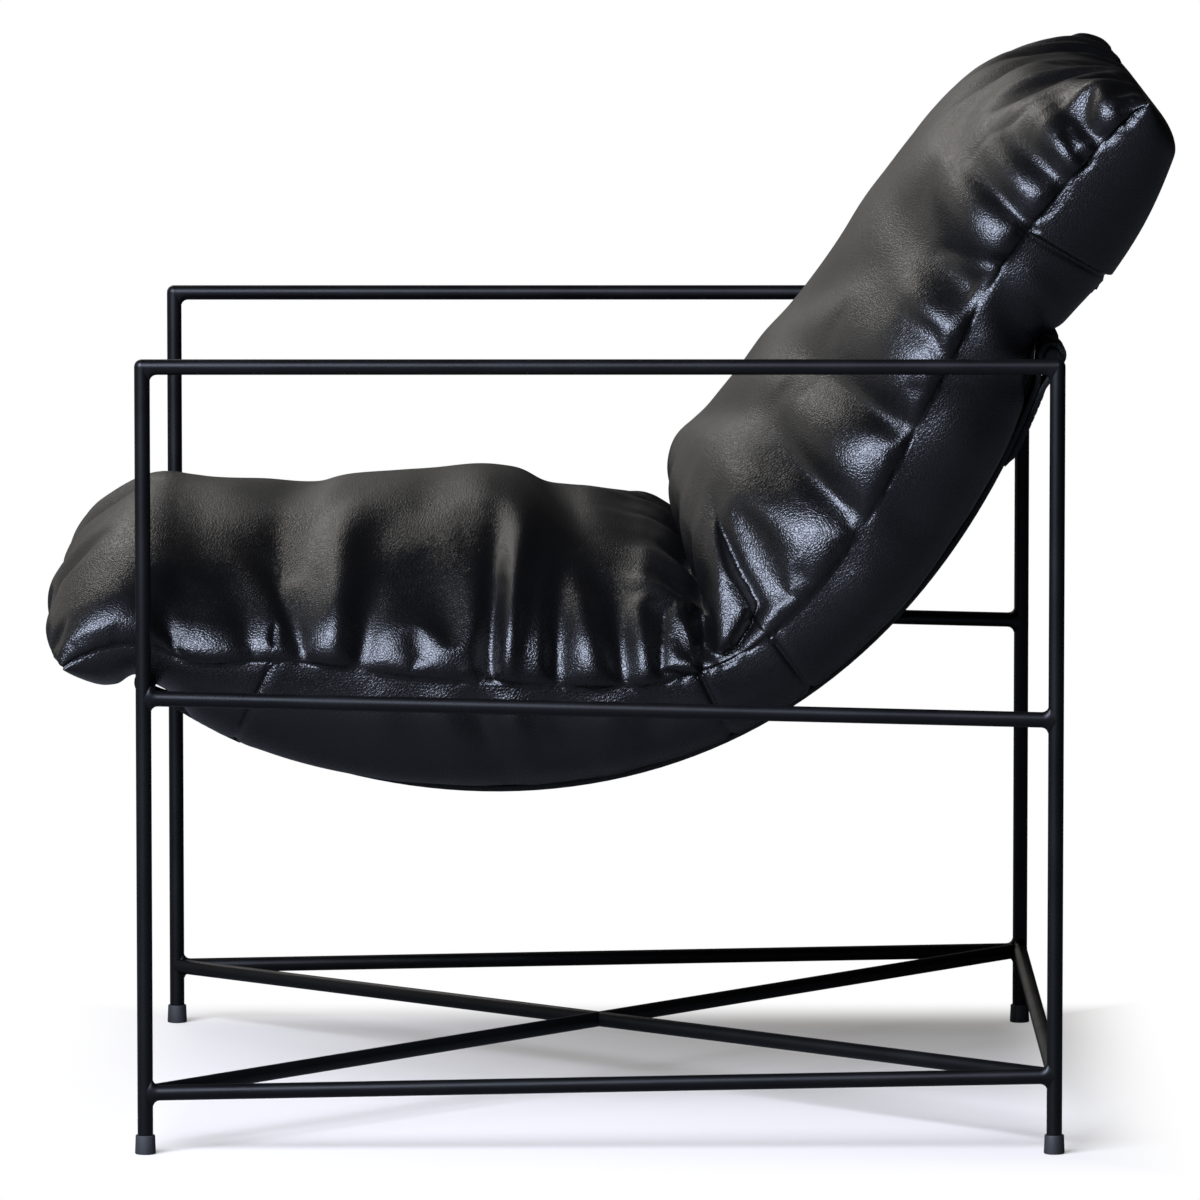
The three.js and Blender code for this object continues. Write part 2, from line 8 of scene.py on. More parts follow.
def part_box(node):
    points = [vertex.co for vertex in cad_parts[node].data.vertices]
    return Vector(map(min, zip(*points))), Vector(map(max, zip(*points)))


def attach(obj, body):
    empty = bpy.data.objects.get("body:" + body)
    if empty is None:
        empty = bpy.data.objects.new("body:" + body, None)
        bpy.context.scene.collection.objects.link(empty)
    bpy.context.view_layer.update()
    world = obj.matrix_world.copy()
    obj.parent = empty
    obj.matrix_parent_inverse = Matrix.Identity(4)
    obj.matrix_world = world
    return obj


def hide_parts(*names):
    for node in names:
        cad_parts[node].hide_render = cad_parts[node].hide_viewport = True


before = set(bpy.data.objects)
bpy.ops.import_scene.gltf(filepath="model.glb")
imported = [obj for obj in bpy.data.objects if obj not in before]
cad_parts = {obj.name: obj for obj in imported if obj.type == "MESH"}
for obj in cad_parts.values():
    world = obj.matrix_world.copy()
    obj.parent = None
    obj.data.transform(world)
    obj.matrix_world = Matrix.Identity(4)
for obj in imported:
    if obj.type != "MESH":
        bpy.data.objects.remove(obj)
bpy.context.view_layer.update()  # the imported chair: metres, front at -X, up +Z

print("frame loaded,", len(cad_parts), "nodes")


# small tools

closeEnough = 1e-6


def editMode():
    bpy.ops.object.mode_set(mode="EDIT")


def objectMode():
    bpy.ops.object.mode_set(mode="OBJECT")


def pickNothing():
    bpy.ops.object.select_all(action="DESELECT")


def pick(obj):
    pickNothing()
    obj.select_set(True)
    bpy.context.view_layer.objects.active = obj


def readPoints(obj, field="co"):
    points = np.empty(len(obj.data.vertices) * 3)
    obj.data.vertices.foreach_get(field, points)
    return points.reshape(-1, 3)


def writePoints(obj, points):
    obj.data.vertices.foreach_set("co", np.ascontiguousarray(points, dtype=np.float64).ravel())
    obj.data.update()


def editAll(obj, operator, **settings):
    pick(obj)
    editMode()
    bpy.ops.mesh.select_all(action="SELECT")
    operator(**settings)
    objectMode()


meshItems = {"VERT": "vertices", "EDGE": "edges", "FACE": "polygons"}


# goes into edit mode with only what passes the test selected
def pickInside(obj, kind, test):
    editMode()
    bpy.ops.mesh.select_mode(type=kind)
    bpy.ops.mesh.select_all(action="DESELECT")
    objectMode()
    for item in getattr(obj.data, meshItems[kind]):
        item.select = test(item)
    editMode()


def modify(obj, kind, **settings):
    modifier = obj.modifiers.new(kind.title(), kind)
    for key, value in settings.items():
        setattr(modifier, key, value)
    pick(obj)
    bpy.ops.object.modifier_apply(modifier=modifier.name)


def smooth(obj, degrees=35):
    pick(obj)
    bpy.ops.object.shade_smooth_by_angle(angle=math.radians(degrees))


def copyOf(obj, shift):
    twin = obj.copy()
    twin.data = obj.data.copy()
    bpy.context.collection.objects.link(twin)
    twin.data.transform(Matrix.Translation(shift))
    return twin


def joinAll(parts):
    pick(parts[0])
    for part in parts[1:]:
        part.select_set(True)
    bpy.ops.object.join()
    return parts[0]


def settle(obj, name, material, body, nodes=()):
    obj.name = name
    obj.data.name = name
    obj.data.materials.clear()
    obj.data.materials.append(material)
    pick(obj)
    bpy.ops.object.transform_apply()
    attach(obj, body)
    if nodes:
        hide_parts(*nodes)
    return obj


# finishes

def newFinish(name):
    material = bpy.data.materials.new(name)
    material.use_nodes = True
    tree = material.node_tree
    return material, tree, tree.nodes["Principled BSDF"]


def addNode(tree, kind, inputs=None, **settings):
    node = tree.nodes.new("ShaderNode" + kind)
    for key, value in settings.items():
        setattr(node, key, value)
    for key, value in (inputs or {}).items():
        if isinstance(value, bpy.types.NodeSocket):
            tree.links.new(value, node.inputs[key])
        else:
            node.inputs[key].default_value = value
    return node


def ramp(tree, value, low, high, darkest, lightest):
    node = addNode(tree, "MapRange", {"Value": value, "From Min": low, "From Max": high,
                                      "To Min": darkest, "To Max": lightest})
    return node.outputs["Result"]


noiseSpan = (0.3, 0.7)  # most values of a noise lie between


# tone and gloss drift over a surface with a broad noise
def drift(tree, shader, patch, look, bump):
    tone = addNode(tree, "Mix", {"Factor": patch.outputs["Fac"], "A": look["dark"], "B": look["light"]},
                   data_type="RGBA")
    rough = ramp(tree, patch.outputs["Fac"], *noiseSpan, look["roughLow"], look["roughHigh"])
    tree.links.new(tone.outputs["Result"], shader.inputs["Base Color"])
    tree.links.new(rough, shader.inputs["Roughness"])
    tree.links.new(bump.outputs["Normal"], shader.inputs["Normal"])


leatherFinish = {
    "dark": (0.0011, 0.0011, 0.0013, 1),
    "light": (0.0024, 0.0023, 0.0024, 1),
    "roughLow": 0.29,
    "roughHigh": 0.38,
    "patchScale": 7,
    "pebbleScale": 430,
    "pebbleWarp": 0.0024,
    "warpScale": 170,
    "pebbleEdge": 0.28,
    "pebbleDepth": 0.00028,
    "pebbleStrength": 0.55,
    "creaseScale": 120,
    "creaseDepth": 0.0003,
    "creaseStrength": 0.35,
}


def makeLeather(name, look):
    material, tree, shader = newFinish(name)
    place = addNode(tree, "TexCoord").outputs["Object"]
    warp = addNode(tree, "TexNoise", {"Vector": place, "Scale": look["warpScale"], "Detail": 2})
    lean = addNode(tree, "VectorMath", {0: warp.outputs["Color"], 1: (0.5, 0.5, 0.5)},
                   operation="SUBTRACT")
    push = addNode(tree, "VectorMath", {0: lean.outputs["Vector"], "Scale": look["pebbleWarp"]},
                   operation="SCALE")
    bent = addNode(tree, "VectorMath", {0: place, 1: push.outputs["Vector"]}, operation="ADD")
    pebble = addNode(tree, "TexVoronoi", {"Vector": bent.outputs["Vector"], "Scale": look["pebbleScale"]},
                     feature="DISTANCE_TO_EDGE")
    grain = ramp(tree, pebble.outputs["Distance"], 0.0, look["pebbleEdge"], 0.0, 1.0)
    crease = addNode(tree, "TexNoise", {"Vector": place, "Scale": look["creaseScale"],
                                        "Detail": 4, "Roughness": 0.6})
    patch = addNode(tree, "TexNoise", {"Vector": place, "Scale": look["patchScale"], "Detail": 3})
    creaseBump = addNode(tree, "Bump", {"Height": crease.outputs["Fac"], "Strength": look["creaseStrength"],
                                        "Distance": look["creaseDepth"]})
    grainBump = addNode(tree, "Bump", {"Height": grain, "Strength": look["pebbleStrength"],
                                       "Distance": look["pebbleDepth"],
                                       "Normal": creaseBump.outputs["Normal"]})
    drift(tree, shader, patch, look, grainBump)
    shader.inputs["IOR"].default_value = 1.5
    return material


coatFinish = {"dark": (0.0014, 0.0014, 0.0016, 1), "light": (0.0026, 0.0026, 0.0028, 1),
              "roughLow": 0.34, "roughHigh": 0.44, "patchScale": 18, "specular": 0.24,
              "peelScale": 900, "peelDepth": 0.00005, "peelStrength": 0.3}


def makeCoat():
    material, tree, shader = newFinish("satinBlackCoat")
    place = addNode(tree, "TexCoord").outputs["Object"]
    look = coatFinish
    peel = addNode(tree, "TexNoise", {"Vector": place, "Scale": look["peelScale"], "Detail": 2})
    patch = addNode(tree, "TexNoise", {"Vector": place, "Scale": look["patchScale"], "Detail": 4})
    bump = addNode(tree, "Bump", {"Height": peel.outputs["Fac"], "Strength": look["peelStrength"],
                                  "Distance": look["peelDepth"]})
    drift(tree, shader, patch, look, bump)
    shader.inputs["Specular IOR Level"].default_value = look["specular"]
    return material


rubberFinish = {"dark": (0.010, 0.010, 0.010, 1), "light": (0.024, 0.024, 0.025, 1),
                "roughLow": 0.55, "roughHigh": 0.8, "dustScale": 60,
                "grainScale": 1300, "grainDepth": 0.0002, "grainStrength": 0.3}


def makeRubber():
    material, tree, shader = newFinish("capRubber")
    place = addNode(tree, "TexCoord").outputs["Object"]
    look = rubberFinish
    grain = addNode(tree, "TexNoise", {"Vector": place, "Scale": look["grainScale"]})
    dust = addNode(tree, "TexNoise", {"Vector": place, "Scale": look["dustScale"], "Detail": 5})
    bump = addNode(tree, "Bump", {"Height": grain.outputs["Fac"], "Strength": look["grainStrength"],
                                  "Distance": look["grainDepth"]})
    drift(tree, shader, dust, look, bump)
    return material


cushionLeather = makeLeather("cushionLeather", leatherFinish)
strapLeather = makeLeather("strapLeather", {**leatherFinish, "roughLow": 0.42, "roughHigh": 0.58,
                                            "pebbleScale": 620, "pebbleDepth": 0.0002})
threadFinish = makeLeather("waxedThread", {**leatherFinish, "dark": (0.012, 0.012, 0.012, 1),
                                           "light": (0.022, 0.022, 0.022, 1), "roughLow": 0.5,
                                           "roughHigh": 0.7})
tapeFinish = makeLeather("zipTape", {**leatherFinish, "dark": (0.007, 0.007, 0.007, 1), "roughLow": 0.6,
                                     "roughHigh": 0.8, "pebbleScale": 1500})
blackCoat = makeCoat()
capRubber = makeRubber()
print("finishes ready")


# frame: round bars with weld fillets where they meet the legs

legLow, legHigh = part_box("leg_front_left")
rearLow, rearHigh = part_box("leg_rear_left")
rodRadius = (legHigh.x - legLow.x) / 2
frontX = (legHigh.x + legLow.x) / 2
rearX = (rearHigh.x + rearLow.x) / 2
sideY = -(legHigh.y + legLow.y) / 2
armZ = legHigh.z - rodRadius

barLook = {
    "sides": 32,
    "weld": 0.005,
    "weldSteps": 5,
    "weldEase": 1.5,
    "weldRoot": 0.6,  # share of the radius where the first cut lies
    "domeShare": 0.97,
    "domeSegments": 8,
    "endChamfer": 0.0008,
    "seatRail": (0.353, 0.336),  # front and rear heights
    "lowRail": (0.047, 0.060),
}
sideNames = {"left": -sideY, "right": sideY}
endPlaces = {"front": frontX, "rear": rearX}


def makeLeg(x, y):
    low, high = legLow.z, legHigh.z
    pickNothing()
    bpy.ops.mesh.primitive_cylinder_add(vertices=barLook["sides"], radius=rodRadius, depth=high - low,
                                        location=(x, y, (low + high) / 2))
    leg = bpy.context.object
    bpy.ops.object.transform_apply()
    for height, size, segments in ((high, rodRadius * barLook["domeShare"], barLook["domeSegments"]),
                                   (low, barLook["endChamfer"], 1)):
        def onRim(edge):
            return all(abs(leg.data.vertices[k].co.z - height) < closeEnough for k in edge.vertices)

        pickInside(leg, "EDGE", onRim)
        bpy.ops.mesh.bevel(offset=size, segments=segments, profile=0.5)
        objectMode()
    smooth(leg)
    return leg


# a bar is made along X from the first joint's centre, then turned to its place
def makeBar(start, end, up=1.0, down=1.0):
    start, end = Vector(start), Vector(end)
    length = (end - start).length
    pickNothing()
    bpy.ops.mesh.primitive_cylinder_add(vertices=barLook["sides"], radius=rodRadius, depth=length,
                                        location=(length / 2, 0, 0), rotation=(0, math.pi / 2, 0))
    bar = bpy.context.object
    bpy.ops.object.transform_apply()
    steps, root = barLook["weldSteps"], barLook["weldRoot"]
    if up or down:
        editMode()
        for k in range(steps + 1):
            share = (k / steps) ** barLook["weldEase"]
            reach = rodRadius * root + share * (barLook["weld"] + rodRadius * (1 - root))
            for x in (reach, length - reach):
                bpy.ops.mesh.select_all(action="SELECT")
                bpy.ops.mesh.bisect(plane_co=(x, 0, 0), plane_no=(1, 0, 0))
        objectMode()
        points = readPoints(bar)
        fromJoint = np.minimum(points[:, 0], length - points[:, 0])
        t = np.clip((fromJoint - rodRadius) / barLook["weld"], 0, 1)
        flare = 1 - np.sqrt(1 - (1 - t) ** 2)
        part = np.where(points[:, 2] > 0, up, down)
        points[:, 2] *= 1 + part * flare * barLook["weld"] / rodRadius
        writePoints(bar, points)
    axis = (end - start).normalized()
    across = Vector((0, 0, 1)).cross(axis).normalized()
    turn = Matrix((axis, across, axis.cross(across))).transposed().to_4x4()
    bar.data.transform(Matrix.Translation(start) @ turn)
    smooth(bar)
    return bar


def dress(obj, name, node):
    return settle(obj, name, blackCoat, "frame", [node])


for end, x in endPlaces.items():
    for side, y in sideNames.items():
        dress(makeLeg(x, y), "leg" + end.title() + side.title(), f"leg_{end}_{side}")
for side, y in sideNames.items():
    rails = {"armrest": ("armrest", armZ, armZ), "sideRail": ("seat_rail", *barLook["seatRail"]),
             "lowRail": ("low_rail", *barLook["lowRail"])}
    for rail, (node, frontZ, rearZ) in rails.items():
        bar = makeBar((frontX, y, frontZ), (rearX, y, rearZ), up=0.0 if rail == "armrest" else 1.0)
        dress(bar, rail + side.title(), f"{node}_{side}")
seatFront = barLook["seatRail"][0]
lowFront, lowRear = barLook["lowRail"]
dress(makeBar((frontX, -sideY, seatFront), (frontX, sideY, seatFront)), "frontStrapBar", "front_strap_bar")
dress(makeBar((rearX, -sideY, armZ), (rearX, sideY, armZ), up=0.0), "rearStrapBar", "rear_strap_bar")
dress(makeBar((rearX, -sideY, lowRear), (rearX, sideY, lowRear)), "rearLowRail", "rear_low_rail")
middle = ((frontX + rearX) / 2, 0, (lowFront + lowRear) / 2)
dress(makeBar((frontX, -sideY, lowFront), (rearX, sideY, lowRear), 0, 0), "braceWhole", "brace_whole")
dress(makeBar(middle, (frontX, sideY, lowFront), 0, 0), "braceHalfFront", "brace_half_front")
dress(makeBar(middle, (rearX, -sideY, lowRear), 0, 0), "braceHalfRear", "brace_half_rear")
print("rod frame made")


# foot caps: a tapered cup with rounded edges

capLow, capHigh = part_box("foot_cap_front_left")
capLook = {"sides": 40, "topTaper": 0.926, "wall": 0.0012, "floor": 0.003, "round": 0.0010, "steps": 3}


def makeCap():
    radius = (capHigh.x - capLow.x) / 2
    height = capHigh.z - capLow.z
    pickNothing()
    bpy.ops.mesh.primitive_cylinder_add(vertices=capLook["sides"], radius=radius, depth=height,
                                        location=(0, 0, height / 2))
    cap = bpy.context.object
    bpy.ops.object.transform_apply()
    pickInside(cap, "FACE", lambda face: face.normal.z > 0.9)
    bpy.ops.transform.resize(value=(capLook["topTaper"], capLook["topTaper"], 1),
                             center_override=(0, 0, height))
    bpy.ops.mesh.inset(thickness=capLook["wall"])
    bpy.ops.mesh.extrude_region_move(TRANSFORM_OT_translate={"value": (0, 0, capLook["floor"] - height)})
    objectMode()
    modify(cap, "BEVEL", width=capLook["round"], segments=capLook["steps"], limit_method="ANGLE",
           angle_limit=math.radians(50))
    smooth(cap, 50)
    return cap


firstCap = makeCap()
for end, x in endPlaces.items():
    for side, y in sideNames.items():
        twin = copyOf(firstCap, (x, y, 0))
        settle(twin, "footCap" + end.title() + side.title(), capRubber, "frame",
               [f"foot_cap_{end}_{side}"])
bpy.data.objects.remove(firstCap)
print("foot caps made")


# the hanging line of the straps, and how it runs on under the cushion past both bars

hangLine = {
    "sagFront": (0.170, -0.128),
    "sagRear": (-0.146, -0.416),
    "noseEnd": (-0.050, -0.006),
    "noseLift": 0.020,
    "headLift": 0.066,
    "headEnd": (0.106, 0.173),
    "steps": 500,
}
frontBar = np.array([frontX, seatFront])
rearBar = np.array([rearX, armZ])


def bezier(controls):
    t = np.linspace(0, 1, hangLine["steps"])[:, None]
    rows = [np.repeat(np.array([point]), len(t), axis=0) for point in controls]
    while len(rows) > 1:
        rows = [a * (1 - t) + b * t for a, b in zip(rows, rows[1:])]
    return rows[0]


def unit(vectors):
    return vectors / np.linalg.norm(vectors, axis=-1, keepdims=True)


frontPull = unit(np.array(hangLine["sagFront"]))
rearPull = unit(-np.array(hangLine["sagRear"]))
stretches = [
    bezier([frontBar + hangLine["noseEnd"], frontBar - frontPull * hangLine["noseLift"], frontBar]),
    bezier([frontBar, frontBar + hangLine["sagFront"], rearBar + hangLine["sagRear"], rearBar]),
    bezier([rearBar, rearBar + rearPull * hangLine["headLift"], rearBar + hangLine["headEnd"]]),
]
bedPath = np.concatenate([stretches[0], stretches[1][1:], stretches[2][1:]])
bedAt = np.concatenate([[0], np.cumsum(np.linalg.norm(np.diff(bedPath, axis=0), axis=1))])
bedSlope = unit(np.gradient(bedPath, bedAt, axis=0))
frontBarAt = bedAt[hangLine["steps"] - 1]
rearBarAt = bedAt[2 * hangLine["steps"] - 2]
bedLength = bedAt[-1]


def follow(at, table):
    return np.stack([np.interp(at, bedAt, table[:, 0]), np.interp(at, bedAt, table[:, 1])], axis=-1)


def bedPoint(at):
    return follow(at, bedPath)


def bedNormal(at):
    slope = unit(follow(at, bedSlope))
    return np.stack([-slope[..., 1], slope[..., 0]], axis=-1)


# straps: a flat band looped round both bars and sewn back on itself

strapLow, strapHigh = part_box("sling_strap_1")
strapWidth = strapHigh.y - strapLow.y
strapLook = {
    "count": 4,
    "thickness": 0.005,
    "play": 0.0002,
    "cuts": 5,
    "pinch": 0.026,
    "turnBack": 0.058,
    "skive": 0.010,
    "skiveEnd": 0.2,
    "clear": 0.0003,
    "loopSteps": 14,
    "runSteps": 60,
    "backSteps": 14,
    "round": 0.0012,
    "stitchInset": 0.005,
    "stitchLength": 0.0046,
    "stitchPitch": 0.0062,
    "threadRadius": 0.00055,
}


def strapPath():
    half = strapLook["thickness"] / 2
    radius = rodRadius + strapLook["clear"] + half
    pinch = strapLook["pinch"]
    turn = math.atan2(half, pinch) + math.acos(radius / math.hypot(half, pinch))
    angles = np.linspace(turn, 2 * math.pi - turn, strapLook["loopSteps"])

    def loop(bar, inward, up):
        return bar + radius * (np.cos(angles)[:, None] * inward + np.sin(angles)[:, None] * up)

    first, last = frontBarAt + pinch, rearBarAt - pinch
    run = np.linspace(first, last, strapLook["runSteps"])
    back = np.linspace(0, strapLook["turnBack"] + strapLook["skive"], strapLook["backSteps"])
    thin = np.clip((back[-1] - back) / strapLook["skive"], strapLook["skiveEnd"], 1)
    frontBack, rearBack = first + back[::-1], last - back
    full = np.ones(2 * len(angles) + len(run))
    path = np.concatenate([
        bedPoint(frontBack) - half * thin[::-1, None] * bedNormal(frontBack),
        loop(frontBar, frontPull, bedNormal(frontBarAt))[::-1],
        bedPoint(run) + half * bedNormal(run),
        loop(rearBar, -rearPull, bedNormal(rearBarAt)),
        bedPoint(rearBack) - half * thin[:, None] * bedNormal(rearBack),
    ])
    return path, np.concatenate([thin[::-1], full, thin])


def makeStrap():
    path, thin = strapPath()
    pickNothing()
    bpy.ops.mesh.primitive_plane_add(size=strapWidth)
    band = bpy.context.object
    editMode()
    bpy.ops.mesh.subdivide(number_cuts=strapLook["cuts"])
    objectMode()
    pickInside(band, "VERT", lambda vertex: vertex.co.x > -strapWidth / 2 + closeEnough)
    bpy.ops.mesh.delete(type="VERT")
    bpy.ops.mesh.select_all(action="SELECT")
    for k in range(len(path) - 1):  # one row of the band for each step of the path
        bpy.ops.mesh.extrude_region_move(TRANSFORM_OT_translate={"value": (strapWidth, 0, 0)})
    objectMode()
    points = readPoints(band)
    row = np.rint(points[:, 0] / strapWidth + 0.5).astype(int)
    writePoints(band, np.stack([path[row, 0], points[:, 1], path[row, 1]], axis=1))
    editAll(band, bpy.ops.mesh.normals_make_consistent, inside=False)
    pared = band.vertex_groups.new(name="pared")
    for k, share in enumerate(thin[row]):
        pared.add([k], float(share), "REPLACE")
    modify(band, "SOLIDIFY", thickness=strapLook["thickness"] - strapLook["play"], offset=0,
           vertex_group="pared")
    modify(band, "BEVEL", width=strapLook["round"], segments=2, limit_method="ANGLE",
           angle_limit=math.radians(60))
    smooth(band, 60)
    return band


# a row of stitches boxed round each sewn end, on its outer face
def makeThread():
    look = strapLook
    pickNothing()
    bpy.ops.mesh.primitive_uv_sphere_add(segments=8, ring_count=6, radius=look["threadRadius"])
    stitch = bpy.context.object
    points = readPoints(stitch)
    points[:, 0] += np.sign(np.round(points[:, 0], 7)) * (look["stitchLength"] / 2 - look["threadRadius"])
    writePoints(stitch, points)
    halfWidth = strapWidth / 2 - look["stitchInset"]
    stitches = []
    for barAt, inward in ((frontBarAt, 1), (rearBarAt, -1)):
        near = barAt + inward * (look["pinch"] + look["stitchInset"])
        far = barAt + inward * (look["pinch"] + look["turnBack"] - look["stitchInset"])
        rows = np.linspace(near, far, round(abs(far - near) / look["stitchPitch"]) + 1)
        columns = np.linspace(-halfWidth, halfWidth, round(2 * halfWidth / look["stitchPitch"]) + 1)
        spots = [((a + b) / 2, y, 0) for a, b in zip(rows, rows[1:]) for y in (-halfWidth, halfWidth)]
        spots += [(at, (a + b) / 2, 90) for a, b in zip(columns, columns[1:]) for at in (near, far)]
        for at, y, turn in spots:
            slope = follow(at, bedSlope)
            spot = bedPoint(at) - bedNormal(at) * look["thickness"]
            facing = Matrix(((slope[0], 0, -slope[1]), (0, 1, 0), (slope[1], 0, slope[0]))).to_4x4()
            twin = copyOf(stitch, (0, 0, 0))
            twin.data.transform(Matrix.Translation((spot[0], y, spot[1])) @ facing
                                @ Matrix.Rotation(math.radians(turn), 4, "Z"))
            stitches.append(twin)
    bpy.data.objects.remove(stitch)
    thread = joinAll(stitches)
    pick(thread)
    bpy.ops.object.shade_smooth()
    return thread


firstStrap = makeStrap()
firstThread = makeThread()
strapPlaces = []
for k in range(1, strapLook["count"] + 1):
    low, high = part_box(f"sling_strap_{k}")
    strapPlaces.append((low.y + high.y) / 2)
    twin = copyOf(firstStrap, (0, strapPlaces[-1], 0))
    settle(twin, f"slingStrap{k}", strapLeather, "frame", [f"sling_strap_{k}"])
    twin = copyOf(firstThread, (0, strapPlaces[-1], 0))
    settle(twin, f"strapThread{k}", threadFinish, "frame")
bpy.data.objects.remove(firstStrap)
bpy.data.objects.remove(firstThread)
print("straps made")


# cushion: one long pillow of two panels sewn round a knife edge

cushionForm = {
    "sideGap": 0.022,
    "drawIn": 0.012,
    "drawPower": 4,
    "belly": 0.010,
    "crownPower": 2.5,
    "underPower": 14,
    "topRoll": 0.055,
    "underRoll": 0.022,
    "noseBulge": 0.031,
    "headBulge": 0.000,
    "nosePouch": 0.005,
    "headPouch": 0.020,
    "loopReach": 0.046,
    "loopOuter": 0.024,
    "loopRamp": 0.6,
    "loopEase": 0.0025,
    "bedGap": 0.0005,
    "sagDepth": 0.006,
    "sagClear": 0.004,
    "sagEase": 0.018,
    "barSag": 0.0115,
    "barReach": 0.030,
    "sideSag": 0.009,
    "sideSagFrom": (0.008, 0.05),
    "sideSagTo": (0.10, 0.30),
    "insideEase": 0.08,
    "chord": 0.110,
    # share of the straps' run, seam above the straps, top above the seam
    "rows": [(0.02, 0.038, 0.104), (0.08, 0.066, 0.105), (0.14, 0.081, 0.113), (0.22, 0.088, 0.122),
             (0.33, 0.090, 0.134), (0.42, 0.081, 0.122), (0.5, 0.068, 0.112), (0.62, 0.060, 0.128),
             (0.75, 0.068, 0.134), (0.9, 0.076, 0.110), (1.08, 0.063, 0.095)],
    "noseRow": (0.028, 0.104),
    "headRow": (0.045, 0.087),
    "swell": 0.021,  # what the cloth run adds
    "creaseAt": 0.558,
    "creaseDepth": 0.034,
    "creaseHalf": 0.042,
    "tuckDepth": 0.020,
    "tuckHalf": 0.011,
    "columns": 116,
    "endSteps": 20,
    "step": 0.0062,
    "seamRows": (0.0015, 0.0035, 0.006),  # closer rows beside each cross seam
    "seamClear": 0.0075,
    "sewnWithin": 1e-5,
}
crossSeams = (0.132, 0.532, 0.605)
headSeam = 1.006


def hermite(key):
    rows = cushionForm["rows"]
    run = rearBarAt - frontBarAt
    places = np.array([0] + [frontBarAt + row[0] * run for row in rows] + [bedLength])
    values = [cushionForm["noseRow"][key]] + [row[key + 1] for row in rows]
    values = np.array(values + [cushionForm["headRow"][key]])
    slopes = np.empty(len(values))
    slopes[1:-1] = (values[2:] - values[:-2]) / (places[2:] - places[:-2])
    slopes[0] = (values[1] - values[0]) / (places[1] - places[0])
    slopes[-1] = (values[-1] - values[-2]) / (places[-1] - places[-2])

    def curve(at):
        k = np.clip(np.searchsorted(places, at) - 1, 0, len(places) - 2)
        span = places[k + 1] - places[k]
        t = np.clip((at - places[k]) / span, 0, 1)
        rest = 1 - t
        return (values[k] * rest ** 2 * (1 + 2 * t) + values[k + 1] * t ** 2 * (1 + 2 * rest)
                + span * t * rest * (slopes[k] * rest - slopes[k + 1] * t))

    return curve


seamRise = hermite(0)
topRise = hermite(1)


def easeStep(value, low, high):
    t = np.clip((value - low) / (high - low), 0, 1)
    return t * t * (3 - 2 * t)


def bell(off, half):
    return np.exp(-(off / half) ** 2)


def underRise(at):
    form = cushionForm
    loopLift = rodRadius + strapLook["clear"] + form["loopEase"]
    lifts = []
    for bar, outward in ((frontBarAt, -1), (rearBarAt, 1)):
        reach = np.where((at - bar) * outward > 0, form["loopOuter"], form["loopReach"])
        near = np.clip(1 - np.abs(at - bar) / reach, 0, 1)
        lifts.append(loopLift * easeStep(near, 0, form["loopRamp"]))
    before = np.clip(at / (frontBarAt - form["loopOuter"] / 2), 0, 1)
    headRun = bedLength - rearBarAt - form["loopOuter"] / 2
    past = np.clip((at - rearBarAt - form["loopOuter"] / 2) / headRun, 0, 1)
    pouch = form["nosePouch"] * np.sin(np.pi * before) + form["headPouch"] * np.sin(np.pi * past)
    return strapLook["thickness"] + form["bedGap"] + np.maximum(*lifts) - pouch


def seamLine(at):
    return bedPoint(at) + bedNormal(at) * seamRise(at)[..., None]


def topNormal(at):
    reach = cushionForm["chord"]
    run = unit(seamLine(np.minimum(at + reach, bedLength)) - seamLine(np.maximum(at - reach, 0)))
    return np.stack([-run[..., 1], run[..., 0]], axis=-1)


def endRoll(at, roll):
    reach = np.clip(np.minimum(at, bedLength - at) / roll, 0, 1)
    return np.sqrt(1 - (1 - reach) ** 2)


def sideRoll(v, power):
    return np.sqrt(np.maximum(1 - np.abs(v) ** power, 0))


# the under side hangs a little lower where no strap carries it
def underSag(at, y):
    form = cushionForm

    def hang(off):
        return 1 - bell(np.clip(off - form["sagClear"], 0, None), form["sagEase"])

    off = np.full(y.shape, np.inf)
    for middleY in strapPlaces:
        off = np.minimum(off, np.abs(y - middleY) - strapWidth / 2)
    ease = form["insideEase"]
    inside = easeStep(at, frontBarAt, frontBarAt + ease) * easeStep(-at, -rearBarAt, ease - rearBarAt)
    beside = hang(np.abs(y) - strapPlaces[-1] - strapWidth / 2)
    behind = at - frontBarAt
    fadeFrom, fadeTo = form["sideSagTo"]
    span = easeStep(behind, *form["sideSagFrom"]) * easeStep(-behind, -fadeTo, -fadeFrom)
    droop = form["barSag"] * bell(behind, form["barReach"]) + form["sideSag"] * span
    return form["sagDepth"] * hang(off) * inside[:, None] + beside * droop[:, None]


